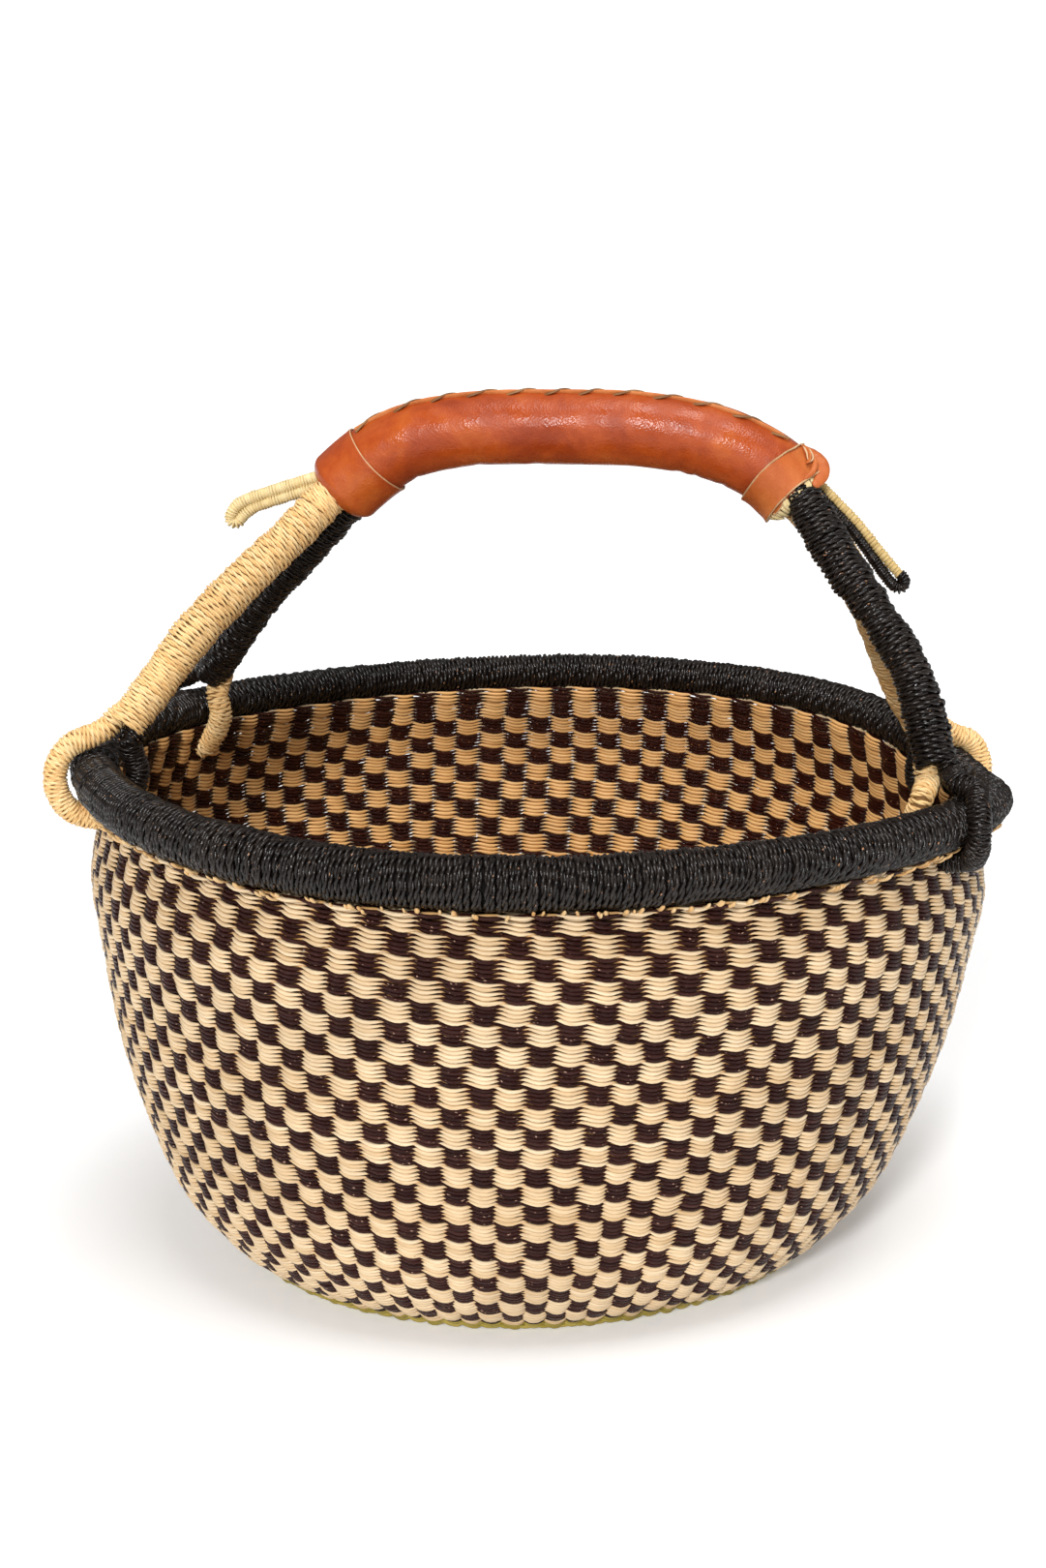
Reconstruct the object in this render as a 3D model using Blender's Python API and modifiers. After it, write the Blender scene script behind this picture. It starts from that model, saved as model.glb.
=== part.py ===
"""Round market basket of twined grass with a wrapped rim and a four-footed handle.

Two wrapped arches run from rim to rim and are bundled in one leather grip. Each leg
splits above the rim into two wrapped cords, which close round the rim through a hole
in the weave just under it.

Metres, +Z up. The origin lies on the floor below the centre of the rim. +X runs along
the handle's span, and the viewer stands on the -Y side.
"""

import math

import bmesh
import bpy
from mathutils import Vector

MM = 0.001
DEG = math.pi / 180.0
SMOOTH_ANGLE = 40.0 * DEG

# Clearance between pieces that touch on the real basket
FIT_GAP = 0.3 * MM
MERGE_DISTANCE = 0.01 * MM
BAKE_MERGE_DISTANCE = 0.003 * MM

# Rim: a bundle of bent-over stakes inside a wrapping of black grass
RIM_RADIUS = 190.0 * MM
RIM_HEIGHT = 206.0 * MM
RIM_TUBE_RADIUS = 10.5 * MM
RIM_WRAP_THICKNESS = 3.2 * MM
RIM_SLOT_WIDTH = 7.6 * MM
RIM_WRAP_STEPS = 11
# Turns round the rim's section, in degrees up from straight outwards
RIM_DOWN_ANGLE = 270.0
RIM_CORE_END_ANGLE = -30.0
RIM_CORE_STEPS = 5
# The rim is thicker in front than at the back
RIM_SWELL_SHARE = 0.095
RIM_SWELL_ANGLE = 270.0 * DEG

# Hand-made irregularity of the body
RIM_TILT = 9.2 * MM
RIM_TILT_ANGLE = 220.0 * DEG
RIM_WAVE = 1.8 * MM
RIM_WAVE_ANGLE = 73.0 * DEG
RIM_WAVES = 3
RIM_OVAL = 2.9 * MM
RIM_OVAL_ANGLE = 47.0 * DEG
# The rim sags where the rear right leg pulls on it
RIM_DIP = 12.0 * MM
RIM_DIP_ANGLE = 18.0 * DEG
RIM_DIP_SPREAD = 20.0 * DEG
# Above this share of the rim's height the dip is the same all the way up
RIM_DIP_FULL_SHARE = 0.89
BODY_LEAN = 10.5 * MM
BODY_LEAN_ANGLE = 187.5 * DEG
BODY_LEAN_POWER = 0.8

# Body: (share of the wall's height, share of the largest outer radius)
BODY_BELLY = 1.7 * MM
WALL_THICKNESS = 5.0 * MM
WALL_TOP_GAP = 0.5 * MM
BODY_PROFILE_SHARES = (
    (0.00, 0.658),
    (0.02, 0.677),
    (0.05, 0.718),
    (0.10, 0.764),
    (0.18, 0.824),
    (0.32, 0.883),
    (0.50, 0.941),
    (0.70, 0.979),
    (0.85, 1.000),
    (1.00, 0.969),
)
BODY_STEPS = 64
PROFILE_STEPS_PER_SPAN = 4
WALL_ROWS = 10
WALL_ROW_POWER = 1.25

# Woven base and the dyed rows round its edge
BASE_THICKNESS = 4.5 * MM
BASE_RING_HEIGHT = 5.0 * MM
BASE_RING_WIDTH = 9.5 * MM
BASE_EDGE_ROUND = 0.8 * MM

# Stakes between the top row of the weave and the rim
STAKE_COUNT = 104
STAKE_THICKNESS = 1.8 * MM
STAKE_SHIFT = 1.0 * MM
STAKE_BAND_HEIGHT = 1.0 * MM
STAKE_WIDTH_SHARE = 0.42

# Handle: foot angles round the rim
FRONT_LEFT_ANGLE = 199.5 * DEG
REAR_LEFT_ANGLE = 156.0 * DEG
FRONT_RIGHT_ANGLE = 344.0 * DEG
REAR_RIGHT_ANGLE = 26.5 * DEG
# How far the front right eye leans along the rim for each step out from it
FRONT_RIGHT_SLANT_SHARE = -1.6
HANDLE_TOP = 352.7 * MM
HANDLE_TOP_OFFSET = 6.0 * MM
LEG_RADIUS = 8.0 * MM
LEG_CORE_RADIUS = 3.5 * MM
LEG_FOOT_REACH = 24.0 * MM
LEG_FOOT_ANGLE = 123.0 * DEG
# (share of the way from apex to foot, share of the height from foot to apex)
LEFT_ARCH_SHARES = (
    (0.00, 1.000),
    (0.10, 0.999),
    (0.20, 0.992),
    (0.33, 0.957),
    (0.42, 0.890),
    (0.51, 0.790),
    (0.59, 0.672),
    (0.69, 0.540),
    (0.79, 0.400),
    (0.86, 0.275),
)
RIGHT_ARCH_SHARES = (
    (0.00, 1.000),
    (0.10, 0.999),
    (0.21, 0.995),
    (0.35, 0.972),
    (0.45, 0.937),
    (0.54, 0.879),
    (0.61, 0.785),
    (0.69, 0.645),
    (0.79, 0.500),
    (0.87, 0.356),
)
REAR_RIGHT_ARCH_SHARES = (
    (0.00, 1.000),
    (0.10, 0.999),
    (0.21, 0.995),
    (0.35, 0.974),
    (0.45, 0.941),
    (0.54, 0.893),
    (0.61, 0.829),
    (0.69, 0.729),
    (0.79, 0.501),
    (0.87, 0.275),
)
ARCH_STEPS_PER_SPAN = 2

# Eyes: the wrapped cords that close round the rim
EYE_RADIUS = 5.1 * MM
EYE_GAP = 0.8 * MM
EYE_HOLE_GAP = 1.1 * MM
EYE_STAKE_GAP = 1.6 * MM
EYE_HOLE_LENGTH = 30.0 * MM
EYE_LEAD = 4.0 * MM
EYE_STUB = 2.2 * MM
# Turns round the rim, in degrees up from straight outwards
OUTER_EYE_ANGLES = (85.0, 60.0, 35.0, 10.0, -15.0, -40.0, -65.0)
INNER_EYE_ANGLES = (152.0, 176.0, 200.0, 216.0)
# The last bend before the hole, as shares of the eye's reach: (out, down)
INNER_REACH_SHARE = 1.05
OUTER_BEND_SHARES = (0.03, 1.0)
INNER_BEND_SHARES = (-0.64, 0.853)

# Grip
GRIP_LEFT_REACH = 85.0 * MM
GRIP_RIGHT_REACH = 107.0 * MM
GRIP_RADIUS = 15.6 * MM
GRIP_LEATHER_THICKNESS = 1.6 * MM
FRONT_ARCH_SIDE = 7.8 * MM
FRONT_ARCH_UP = 3.0 * MM
REAR_ARCH_SIDE = 7.8 * MM
REAR_ARCH_DOWN = 6.0 * MM
ARCH_SPREAD_DELAY = 4.0 * MM
COLLAR_THICKNESS = 1.1 * MM
LEFT_COLLAR_LENGTH = 23.0 * MM
RIGHT_COLLAR_LENGTH = 15.0 * MM
COLLAR_SETBACK = 1.0 * MM
KNOT_RADIUS = 2.1 * MM
# Knot: (share round the collar from its top, share along the collar)
KNOT_SHARES = ((-0.13, 0.20), (-0.06, 0.46), (0.02, 0.52), (0.09, 0.62), (0.15, 0.74))

# Seam lace: a whip stitch along the top of the grip
LACE_RADIUS = 0.8 * MM
LACE_PITCH = 8.0 * MM
LACE_SWAY = 2.6 * MM
LACE_GAP = 0.6 * MM

# Tails of the wrapping, left standing at both ends of the grip
TAIL_RADIUS = 2.5 * MM
TAIL_TURN_POINTS = 6
# Steps along the right tail at which the black cord begins
TAIL_COLOUR_STEPS = 3
LEFT_TAIL_LENGTH = 46.0 * MM
LEFT_TAIL_SPREAD = 5.7 * MM
RIGHT_TAIL_LENGTH = 62.0 * MM
RIGHT_TAIL_SPREAD = 6.0 * MM
TAIL_LIFT = 10.6 * MM
LEFT_TAIL_SIDE = 3.5 * MM
RIGHT_TAIL_SIDE = 3.0 * MM
LEFT_TAIL_FLARE_SHARE = 0.45
RIGHT_TAIL_FLARE_SHARE = 0.0

# Colours: base colour, roughness
LOOKS = {
    "natural_straw": ((0.66, 0.47, 0.25, 1.0), 0.55),
    "yellow_weft": ((0.55, 0.50, 0.12, 1.0), 0.6),
    "black_grass": ((0.018, 0.014, 0.015, 1.0), 0.5),
    "stake_grass": ((0.52, 0.38, 0.20, 1.0), 0.6),
    "tan_leather": ((0.46, 0.115, 0.025, 1.0), 0.38),
    "pale_leather": ((0.55, 0.20, 0.07, 1.0), 0.45),
    "lace_leather": ((0.33, 0.12, 0.04, 1.0), 0.5),
}

# Sizes that follow from the ones above
BODY_RADIUS = RIM_RADIUS + BODY_BELLY
RIM_CORE_RADIUS = RIM_TUBE_RADIUS - RIM_WRAP_THICKNESS - FIT_GAP
WALL_TOP = RIM_HEIGHT - RIM_TUBE_RADIUS * (1.0 + RIM_SWELL_SHARE) - WALL_TOP_GAP
WALL_FOOT = BASE_RING_HEIGHT + FIT_GAP
LEG_BORE_RADIUS = LEG_CORE_RADIUS + FIT_GAP
PADDING_RADIUS = GRIP_RADIUS - GRIP_LEATHER_THICKNESS - FIT_GAP

parts = bpy.data.collections.new("bolga_basket")
cutters = bpy.data.collections.new("cutters")
materials = {}


def clear_scene():
    for obj in list(bpy.data.objects):
        bpy.data.objects.remove(obj, do_unlink=True)
    for collection in (parts, cutters):
        bpy.context.scene.collection.children.link(collection)


def look(name):
    if name not in materials:
        color, roughness = LOOKS[name]
        material = bpy.data.materials.new(name)
        material.use_nodes = True
        shader = material.node_tree.nodes["Principled BSDF"]
        shader.inputs["Base Color"].default_value = color
        shader.inputs["Roughness"].default_value = roughness
        shader.inputs["Metallic"].default_value = 0.0
        material.diffuse_color = color
        materials[name] = material
    return materials[name]


def add_object(name, data, slot=None, collection=None):
    obj = bpy.data.objects.new(name, data)
    (collection or parts).objects.link(obj)
    if slot:
        data.materials.clear()
        data.materials.append(look(slot))
    return obj


def bake(obj):
    """Replace an object by the mesh that its modifiers and curve settings make."""
    depsgraph = bpy.context.evaluated_depsgraph_get()
    mesh = bpy.data.meshes.new_from_object(obj.evaluated_get(depsgraph), depsgraph=depsgraph)
    mesh.transform(obj.matrix_world)
    name = obj.name
    collection = obj.users_collection[0]
    bpy.data.objects.remove(obj, do_unlink=True)
    bm = bmesh.new()
    bm.from_mesh(mesh)
    bmesh.ops.remove_doubles(bm, verts=bm.verts, dist=BAKE_MERGE_DISTANCE)
    bmesh.ops.recalc_face_normals(bm, faces=bm.faces)
    bm.to_mesh(mesh)
    bm.free()
    new = bpy.data.objects.new(name, mesh)
    collection.objects.link(new)
    return new


def smooth(points, steps):
    """Catmull-Rom curve through points of any dimension."""
    result = []
    last = len(points) - 1
    for i in range(last):
        before = points[i - 1] if i else points[0] * 2.0 - points[1]
        after = points[i + 2] if i + 2 <= last else points[last] * 2.0 - points[last - 1]
        a, b = points[i], points[i + 1]
        for k in range(steps):
            t = k / steps
            point = (
                a * 2.0
                + (b - before) * t
                + (before * 2.0 - a * 5.0 + b * 4.0 - after) * t * t
                + (a * 3.0 - before - b * 3.0 + after) * t ** 3
            )
            result.append(point * 0.5)
    result.append(points[last].copy())
    return result


def along(curve, value, axis=0, other=1):
    """Read one coordinate of a curve where another one has a given value."""
    for a, b in zip(curve, curve[1:]):
        low, high = min(a[axis], b[axis]), max(a[axis], b[axis])
        if low <= value <= high and high > low:
            t = (value - a[axis]) / (b[axis] - a[axis])
            return a[other] + (b[other] - a[other]) * t
    ends = (curve[0], curve[-1])
    nearest = min(ends, key=lambda end: abs(end[axis] - value))
    return nearest[other]


# Shape of the body

PROFILE = smooth(
    [Vector((high * WALL_TOP, wide * BODY_RADIUS)) for high, wide in BODY_PROFILE_SHARES],
    PROFILE_STEPS_PER_SPAN,
)


def wall_radius(height):
    return along(PROFILE, height)


def rim_dip(angle, share):
    """How far the rim's sag lowers a place at an angle and a share of the rim's height."""
    aside = math.remainder(angle - RIM_DIP_ANGLE, 2.0 * math.pi) / RIM_DIP_SPREAD
    rise = min(share / RIM_DIP_FULL_SHARE, 1.0)
    return RIM_DIP * math.exp(-aside * aside) * rise * rise * (3.0 - 2.0 * rise)


def warp(point):
    """The hand-made lean, tilt, oval and dip of the body, growing towards the rim."""
    share = min(max(point.z / RIM_HEIGHT, 0.0), 1.0)
    pull = share * share
    angle = math.atan2(point.y, point.x)
    lift = RIM_TILT * math.cos(angle - RIM_TILT_ANGLE)
    lift += RIM_WAVE * math.cos(RIM_WAVES * (angle - RIM_WAVE_ANGLE))
    oval = 1.0 + pull * RIM_OVAL / RIM_RADIUS * math.cos(2.0 * (angle - RIM_OVAL_ANGLE))
    lean = BODY_LEAN * (1.0 - share) ** BODY_LEAN_POWER
    return Vector((
        point.x * oval + lean * math.cos(BODY_LEAN_ANGLE),
        point.y * oval + lean * math.sin(BODY_LEAN_ANGLE),
        point.z + lift * pull - rim_dip(angle, share),
    ))


def swell(angle):
    return 1.0 + RIM_SWELL_SHARE * math.cos(angle - RIM_SWELL_ANGLE)


def swell_rim(point):
    """Thicken or thin the rim's section round its centre line."""
    angle = math.atan2(point.y, point.x)
    radius = math.hypot(point.x, point.y)
    factor = swell(angle)
    new_radius = RIM_RADIUS + (radius - RIM_RADIUS) * factor
    height = RIM_HEIGHT + (point.z - RIM_HEIGHT) * factor
    return Vector((new_radius * math.cos(angle), new_radius * math.sin(angle), height))


def rim_point(angle, out, up):
    """A place given by its distance out from and above the rim's centre line."""
    radius = RIM_RADIUS + out
    return warp(Vector((radius * math.cos(angle), radius * math.sin(angle), RIM_HEIGHT + up)))


def move_points(obj, *steps):
    for vertex in obj.data.vertices:
        for step in steps:
            vertex.co = step(vertex.co)
    obj.data.update()


def turned(name, slot, profile, closed, steps=BODY_STEPS):
    """Turn a profile of (radius, height) pairs about the vertical axis."""
    mesh = bpy.data.meshes.new(name)
    count = len(profile)
    edges = [(i, i + 1) for i in range(count - 1)]
    if closed:
        edges.append((count - 1, 0))
    mesh.from_pydata([(radius, 0.0, height) for radius, height in profile], edges, [])
    obj = add_object(name, mesh, slot)
    screw = obj.modifiers.new("Screw", "SCREW")
    screw.angle = 2.0 * math.pi
    screw.steps = steps
    screw.render_steps = steps
    screw.use_merge_vertices = True
    screw.merge_threshold = MERGE_DISTANCE
    return bake(obj)


def solidify(obj, thickness):
    modifier = obj.modifiers.new("Solidify", "SOLIDIFY")
    modifier.thickness = thickness
    modifier.offset = -1.0
    modifier.use_even_offset = True
    return modifier


def cut(obj, cutter, label):
    cutter.hide_render = True
    cutter.display_type = "WIRE"
    modifier = obj.modifiers.new(label, "BOOLEAN")
    modifier.operation = "DIFFERENCE"
    modifier.object = cutter


def smooth_faces(obj, limit=SMOOTH_ANGLE):
    if obj.type == "MESH":
        obj.data.shade_smooth()
        obj.data.set_sharp_from_angle(angle=limit)


def tube(name, slot, points, radius, sides, caps=True, collection=None, radii=None):
    """A tube along points, as a curve object with a round bevel."""
    curve = bpy.data.curves.new(name, "CURVE")
    curve.dimensions = "3D"
    curve.bevel_depth = radius
    curve.bevel_resolution = sides // 2 - 2
    curve.use_fill_caps = caps
    curve.twist_mode = "MINIMUM"
    spline = curve.splines.new("POLY")
    spline.points.add(len(points) - 1)
    for index, point in enumerate(points):
        spline.points[index].co = (point.x, point.y, point.z, 1.0)
        spline.points[index].radius = radii[index] if radii else 1.0
    spline.use_smooth = True
    return add_object(name, curve, slot, collection)


def sleeve(name, slot, points, radius, bore, sides):
    """A tube whose flats leave a round bore of the given radius, open at both ends."""
    obj = bake(tube(name, slot, points, radius, sides, caps=False))
    solidify(obj, radius * math.cos(math.pi / sides) - bore)
    smooth_faces(obj)
    return obj


# Body pieces

def make_base():
    inner_edge = wall_radius(0.0) - BASE_RING_WIDTH
    bm = bmesh.new()
    bmesh.ops.create_cone(
        bm,
        cap_ends=True,
        segments=BODY_STEPS,
        radius1=inner_edge - FIT_GAP,
        radius2=inner_edge - FIT_GAP,
        depth=BASE_THICKNESS,
    )
    mesh = bpy.data.meshes.new("base_weave")
    bm.to_mesh(mesh)
    bm.free()
    base = add_object("base_weave", mesh, "natural_straw")
    for vertex in mesh.vertices:
        vertex.co = warp(vertex.co + Vector((0.0, 0.0, BASE_THICKNESS / 2.0)))
    smooth_faces(base)

    outer_edge = wall_radius(WALL_FOOT)
    edge = BASE_EDGE_ROUND
    ring = turned("base_dyed_ring", "yellow_weft", [
        (inner_edge, 0.0),
        (inner_edge, BASE_RING_HEIGHT - edge),
        (inner_edge + edge, BASE_RING_HEIGHT),
        (outer_edge - edge, BASE_RING_HEIGHT),
        (outer_edge, BASE_RING_HEIGHT - edge),
        (wall_radius(0.0), 0.0),
    ], closed=True)
    move_points(ring, warp)
    smooth_faces(ring)


def eye_reach(angle):
    """Distance from the rim's centre line to that of a cord laid round it."""
    return RIM_TUBE_RADIUS * swell(angle) + EYE_RADIUS + EYE_GAP


def eye_meet(angle):
    """How far out from the rim's centre line the two cords meet, inside the weave."""
    height = RIM_HEIGHT - eye_reach(angle)
    return wall_radius(height) - WALL_THICKNESS / 2.0 - RIM_RADIUS


def eye_angle(name, foot_angle, out):
    """Angle round the rim of an eye's place at a distance out from the centre line."""
    if name != "front_right":
        return foot_angle
    least = EYE_STUB - eye_meet(foot_angle)
    return foot_angle + FRONT_RIGHT_SLANT_SHARE * max(out, least) / RIM_RADIUS


def eye_hole_cutters(piece, gap):
    """Cutters for the places just under the rim where the eyes pass the weave."""
    holes = {}
    for name, foot_angle in FEET.items():
        angle = eye_angle(name, foot_angle, 0.0)
        middle = rim_point(angle, eye_meet(angle), -eye_reach(angle))
        outwards = Vector((math.cos(angle), math.sin(angle), 0.0))
        half = outwards * (EYE_HOLE_LENGTH / 2.0)
        label = "_".join((name, piece, "cutter"))
        holes[name] = bake(tube(label, None, [middle - half, middle + half],
                                EYE_RADIUS + gap, 16, collection=cutters))
    return holes


def make_wall():
    height = WALL_TOP - WALL_FOOT
    heights = [WALL_FOOT + height * (i / WALL_ROWS) ** WALL_ROW_POWER
               for i in range(WALL_ROWS + 1)]
    profile = [(wall_radius(height), height) for height in reversed(heights)]
    wall = turned("wall_weave", "natural_straw", profile, closed=False)
    move_points(wall, warp)
    solidify(wall, WALL_THICKNESS)
    wall = bake(wall)
    for name, cutter in eye_hole_cutters("weave", EYE_HOLE_GAP).items():
        cut(wall, cutter, name + " hole")
    smooth_faces(wall)


def make_stakes():
    """A ring of short stakes that stands on the weave and reaches into the rim."""
    middle = wall_radius(WALL_TOP) - WALL_THICKNESS / 2.0 + STAKE_SHIFT
    band_top = -(RIM_CORE_RADIUS + FIT_GAP)
    band_foot = band_top - STAKE_BAND_HEIGHT
    inner = middle - STAKE_THICKNESS / 2.0
    outer = middle + STAKE_THICKNESS / 2.0
    ring = turned("stake_ring", "stake_grass", [
        (inner, RIM_HEIGHT + band_foot),
        (middle, RIM_HEIGHT + band_top),
        (outer, RIM_HEIGHT + band_foot),
    ], closed=True, steps=2 * STAKE_COUNT)
    bm = bmesh.new()
    bm.from_mesh(ring.data)
    step = 2.0 * math.pi / STAKE_COUNT
    shift = step * (0.5 - STAKE_WIDTH_SHARE)
    for vertex in bm.verts:
        angle = math.atan2(vertex.co.y, vertex.co.x)
        turn = round(angle / (step / 2.0))
        new = (turn * step / 2.0) + (shift if turn % 2 else 0.0)
        radius = math.hypot(vertex.co.x, vertex.co.y)
        vertex.co.x = radius * math.cos(new)
        vertex.co.y = radius * math.sin(new)
    for vertex in bm.verts:
        top = vertex.co.z > RIM_HEIGHT + band_top - STAKE_BAND_HEIGHT / 2.0
        angle = math.atan2(vertex.co.y, vertex.co.x)
        if top:
            vertex.co.z = RIM_HEIGHT + band_top * swell(angle)
        else:
            vertex.co.z = RIM_HEIGHT + band_top * swell(angle) - STAKE_BAND_HEIGHT
    bottoms = []
    for face in bm.faces:
        if face.normal.z < -0.9:
            centre = face.calc_center_median()
            slot = math.floor(math.atan2(centre.y, centre.x) / (step / 2.0) + 0.25)
            if slot % 2:
                bottoms.append(face)
    stakes = bmesh.ops.extrude_discrete_faces(bm, faces=bottoms)["faces"]
    for face in stakes:
        for vertex in face.verts:
            vertex.co.z = WALL_TOP + FIT_GAP
    bmesh.ops.recalc_face_normals(bm, faces=bm.faces)
    bm.to_mesh(ring.data)
    bm.free()
    move_points(ring, warp)
    for name, cutter in eye_hole_cutters("stake", EYE_STAKE_GAP).items():
        cut(ring, cutter, name + " hole")


def rim_section(radius, start, end, count):
    """Points round the rim's section, in degrees up from straight outwards."""
    points = []
    for i in range(count + 1):
        turn = (start + (end - start) * i / count) * DEG
        points.append((RIM_RADIUS + radius * math.cos(turn), RIM_HEIGHT + radius * math.sin(turn)))
    return points


def make_rim():
    section = rim_section(RIM_CORE_RADIUS, RIM_DOWN_ANGLE, RIM_CORE_END_ANGLE, RIM_CORE_STEPS)
    core = turned("rim_core", "stake_grass", section, closed=True)
    move_points(core, swell_rim, warp)
    smooth_faces(core)
    slot = math.degrees(math.asin(RIM_SLOT_WIDTH / 2.0 / RIM_TUBE_RADIUS))
    lean = math.degrees(math.asin(
        (wall_radius(WALL_TOP) - WALL_THICKNESS / 2.0 - RIM_RADIUS) / RIM_TUBE_RADIUS))
    start = RIM_DOWN_ANGLE + lean - slot
    end = RIM_DOWN_ANGLE - 360.0 + lean + slot
    wrap = turned("rim_wrap", "black_grass",
                  rim_section(RIM_TUBE_RADIUS, start, end, RIM_WRAP_STEPS), closed=False)
    half_flat = (start - end) / RIM_WRAP_STEPS / 2.0 * DEG
    solidify(wrap, RIM_TUBE_RADIUS * math.cos(half_flat) - RIM_CORE_RADIUS - FIT_GAP)
    wrap = bake(wrap)
    move_points(wrap, swell_rim, warp)
    smooth_faces(wrap)


# Handle paths

FEET = {
    "front_left": FRONT_LEFT_ANGLE,
    "front_right": FRONT_RIGHT_ANGLE,
    "rear_left": REAR_LEFT_ANGLE,
    "rear_right": REAR_RIGHT_ANGLE,
}


def leg_foot(angle):
    out = LEG_FOOT_REACH * math.cos(LEG_FOOT_ANGLE)
    up = LEG_FOOT_REACH * math.sin(LEG_FOOT_ANGLE)
    return rim_point(angle, out, up)


def half_arch(foot_angle, shares, side, rise, grip_reach, with_foot):
    """Points from the apex down to the leg's lower end above the rim."""
    foot = rim_point(foot_angle, 0.0, 0.0)
    top = HANDLE_TOP + rise
    points = []
    for way, height in shares:
        x = HANDLE_TOP_OFFSET + (foot.x - HANDLE_TOP_OFFSET) * way
        z = foot.z + (top - foot.z) * height
        start = grip_reach + ARCH_SPREAD_DELAY
        spread = (abs(x) - start) / (abs(foot.x) - start)
        y = side + (foot.y - side) * max(spread, 0.0)
        points.append(Vector((x, y, z)))
    if with_foot:
        points.append(leg_foot(foot_angle))
    return points


def arch(left_angle, right_angle, right_shares, side, rise):
    left = half_arch(left_angle, LEFT_ARCH_SHARES, side, rise, GRIP_LEFT_REACH, True)
    right = half_arch(right_angle, right_shares, side, rise, GRIP_RIGHT_REACH, True)
    return smooth(left[::-1] + right[1:], ARCH_STEPS_PER_SPAN)


def grip_line():
    """Centre line of the grip, in the plane halfway between the two arches."""
    halves = []
    for reach, feet in (
        (GRIP_LEFT_REACH, ((FRONT_LEFT_ANGLE, LEFT_ARCH_SHARES),
                           (REAR_LEFT_ANGLE, LEFT_ARCH_SHARES))),
        (GRIP_RIGHT_REACH, ((FRONT_RIGHT_ANGLE, RIGHT_ARCH_SHARES),
                            (REAR_RIGHT_ANGLE, REAR_RIGHT_ARCH_SHARES))),
    ):
        rows = zip(*(half_arch(angle, shares, 0.0, 0.0, reach, False) for angle, shares in feet))
        halves.append([(a + b) / 2.0 for a, b in rows])
    line = smooth(halves[0][::-1] + halves[1][1:], ARCH_STEPS_PER_SPAN)
    for point in line:
        point.y = 0.0
    return line


def part_of(line, low, high):
    """The stretch of a line between two places along X."""
    def at(x):
        return Vector((x, along(line, x, 0, 1), along(line, x, 0, 2)))
    inside = [point for point in line if low < point.x < high]
    spacing = FIT_GAP * 4.0
    inside = [p for p in inside if p.x - low > spacing and high - p.x > spacing]
    return [at(low)] + inside + [at(high)]


def frame_at(line, distance):
    """Place, direction and upward normal at a distance along a line."""
    walked = 0.0
    for a, b in zip(line, line[1:]):
        length = (b - a).length
        if walked + length >= distance or b is line[-1]:
            direction = (b - a).normalized()
            normal = direction.cross(Vector((0.0, 1.0, 0.0)))
            if normal.z < 0.0:
                normal.negate()
            return a + direction * (distance - walked), direction, normal.normalized()
        walked += length
    return None


def line_length(line):
    return sum((b - a).length for a, b in zip(line, line[1:]))


def trim_end(line, gap):
    """A copy of a line with its last point drawn back by a small gap."""
    back = (line[-1] - line[-2]).normalized() * gap
    return line[:-1] + [line[-1] - back]


FRONT_ARCH = arch(FRONT_LEFT_ANGLE, FRONT_RIGHT_ANGLE, RIGHT_ARCH_SHARES,
                  -FRONT_ARCH_SIDE, FRONT_ARCH_UP)
REAR_ARCH = arch(REAR_LEFT_ANGLE, REAR_RIGHT_ANGLE, REAR_RIGHT_ARCH_SHARES,
                 REAR_ARCH_SIDE, -REAR_ARCH_DOWN)
GRIP_LINE = grip_line()
GRIP_PATH = part_of(GRIP_LINE, -GRIP_LEFT_REACH, GRIP_RIGHT_REACH)


def grip_end(left):
    """Centre of the grip's end face, and the direction out of it."""
    end, inner = (GRIP_PATH[0], GRIP_PATH[1]) if left else (GRIP_PATH[-1], GRIP_PATH[-2])
    return end, (end - inner).normalized()


def leg_path(line, left):
    """The stretch of an arch from its foot to a little way into the grip."""
    end, outwards = grip_end(left)
    ordered = line if left else line[::-1]
    kept = [ordered[0]]
    for point in ordered[1:]:
        kept.append(point)
        if (point - end).dot(outwards) < -LEG_RADIUS:
            break
    return kept


def grip_end_cutters():
    """Solids that trim what stands out of the grip flush with its end faces."""
    ends = {}
    for left in (True, False):
        end, outwards = grip_end(left)
        near = end + outwards * FIT_GAP
        far = end - outwards * GRIP_RADIUS * 2.0
        label = "left_grip_end_cutter" if left else "right_grip_end_cutter"
        ends[left] = bake(tube(label, None, [near, far], GRIP_RADIUS * 3.0, 16,
                               collection=cutters))
    return ends


def make_legs(ends):
    tube("front_arch_core", "natural_straw", FRONT_ARCH, LEG_CORE_RADIUS, 6)
    tube("rear_arch_core", "natural_straw", REAR_ARCH, LEG_CORE_RADIUS, 6)
    for name, line, left, slot in (
        ("front_left", FRONT_ARCH, True, "natural_straw"),
        ("front_right", FRONT_ARCH, False, "black_grass"),
        ("rear_left", REAR_ARCH, True, "black_grass"),
        ("rear_right", REAR_ARCH, False, "natural_straw"),
    ):
        wrap = sleeve(name + "_leg_wrap", slot, leg_path(line, left), LEG_RADIUS,
                      LEG_BORE_RADIUS, 10)
        cut(wrap, ends[left], "Grip end")


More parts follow.
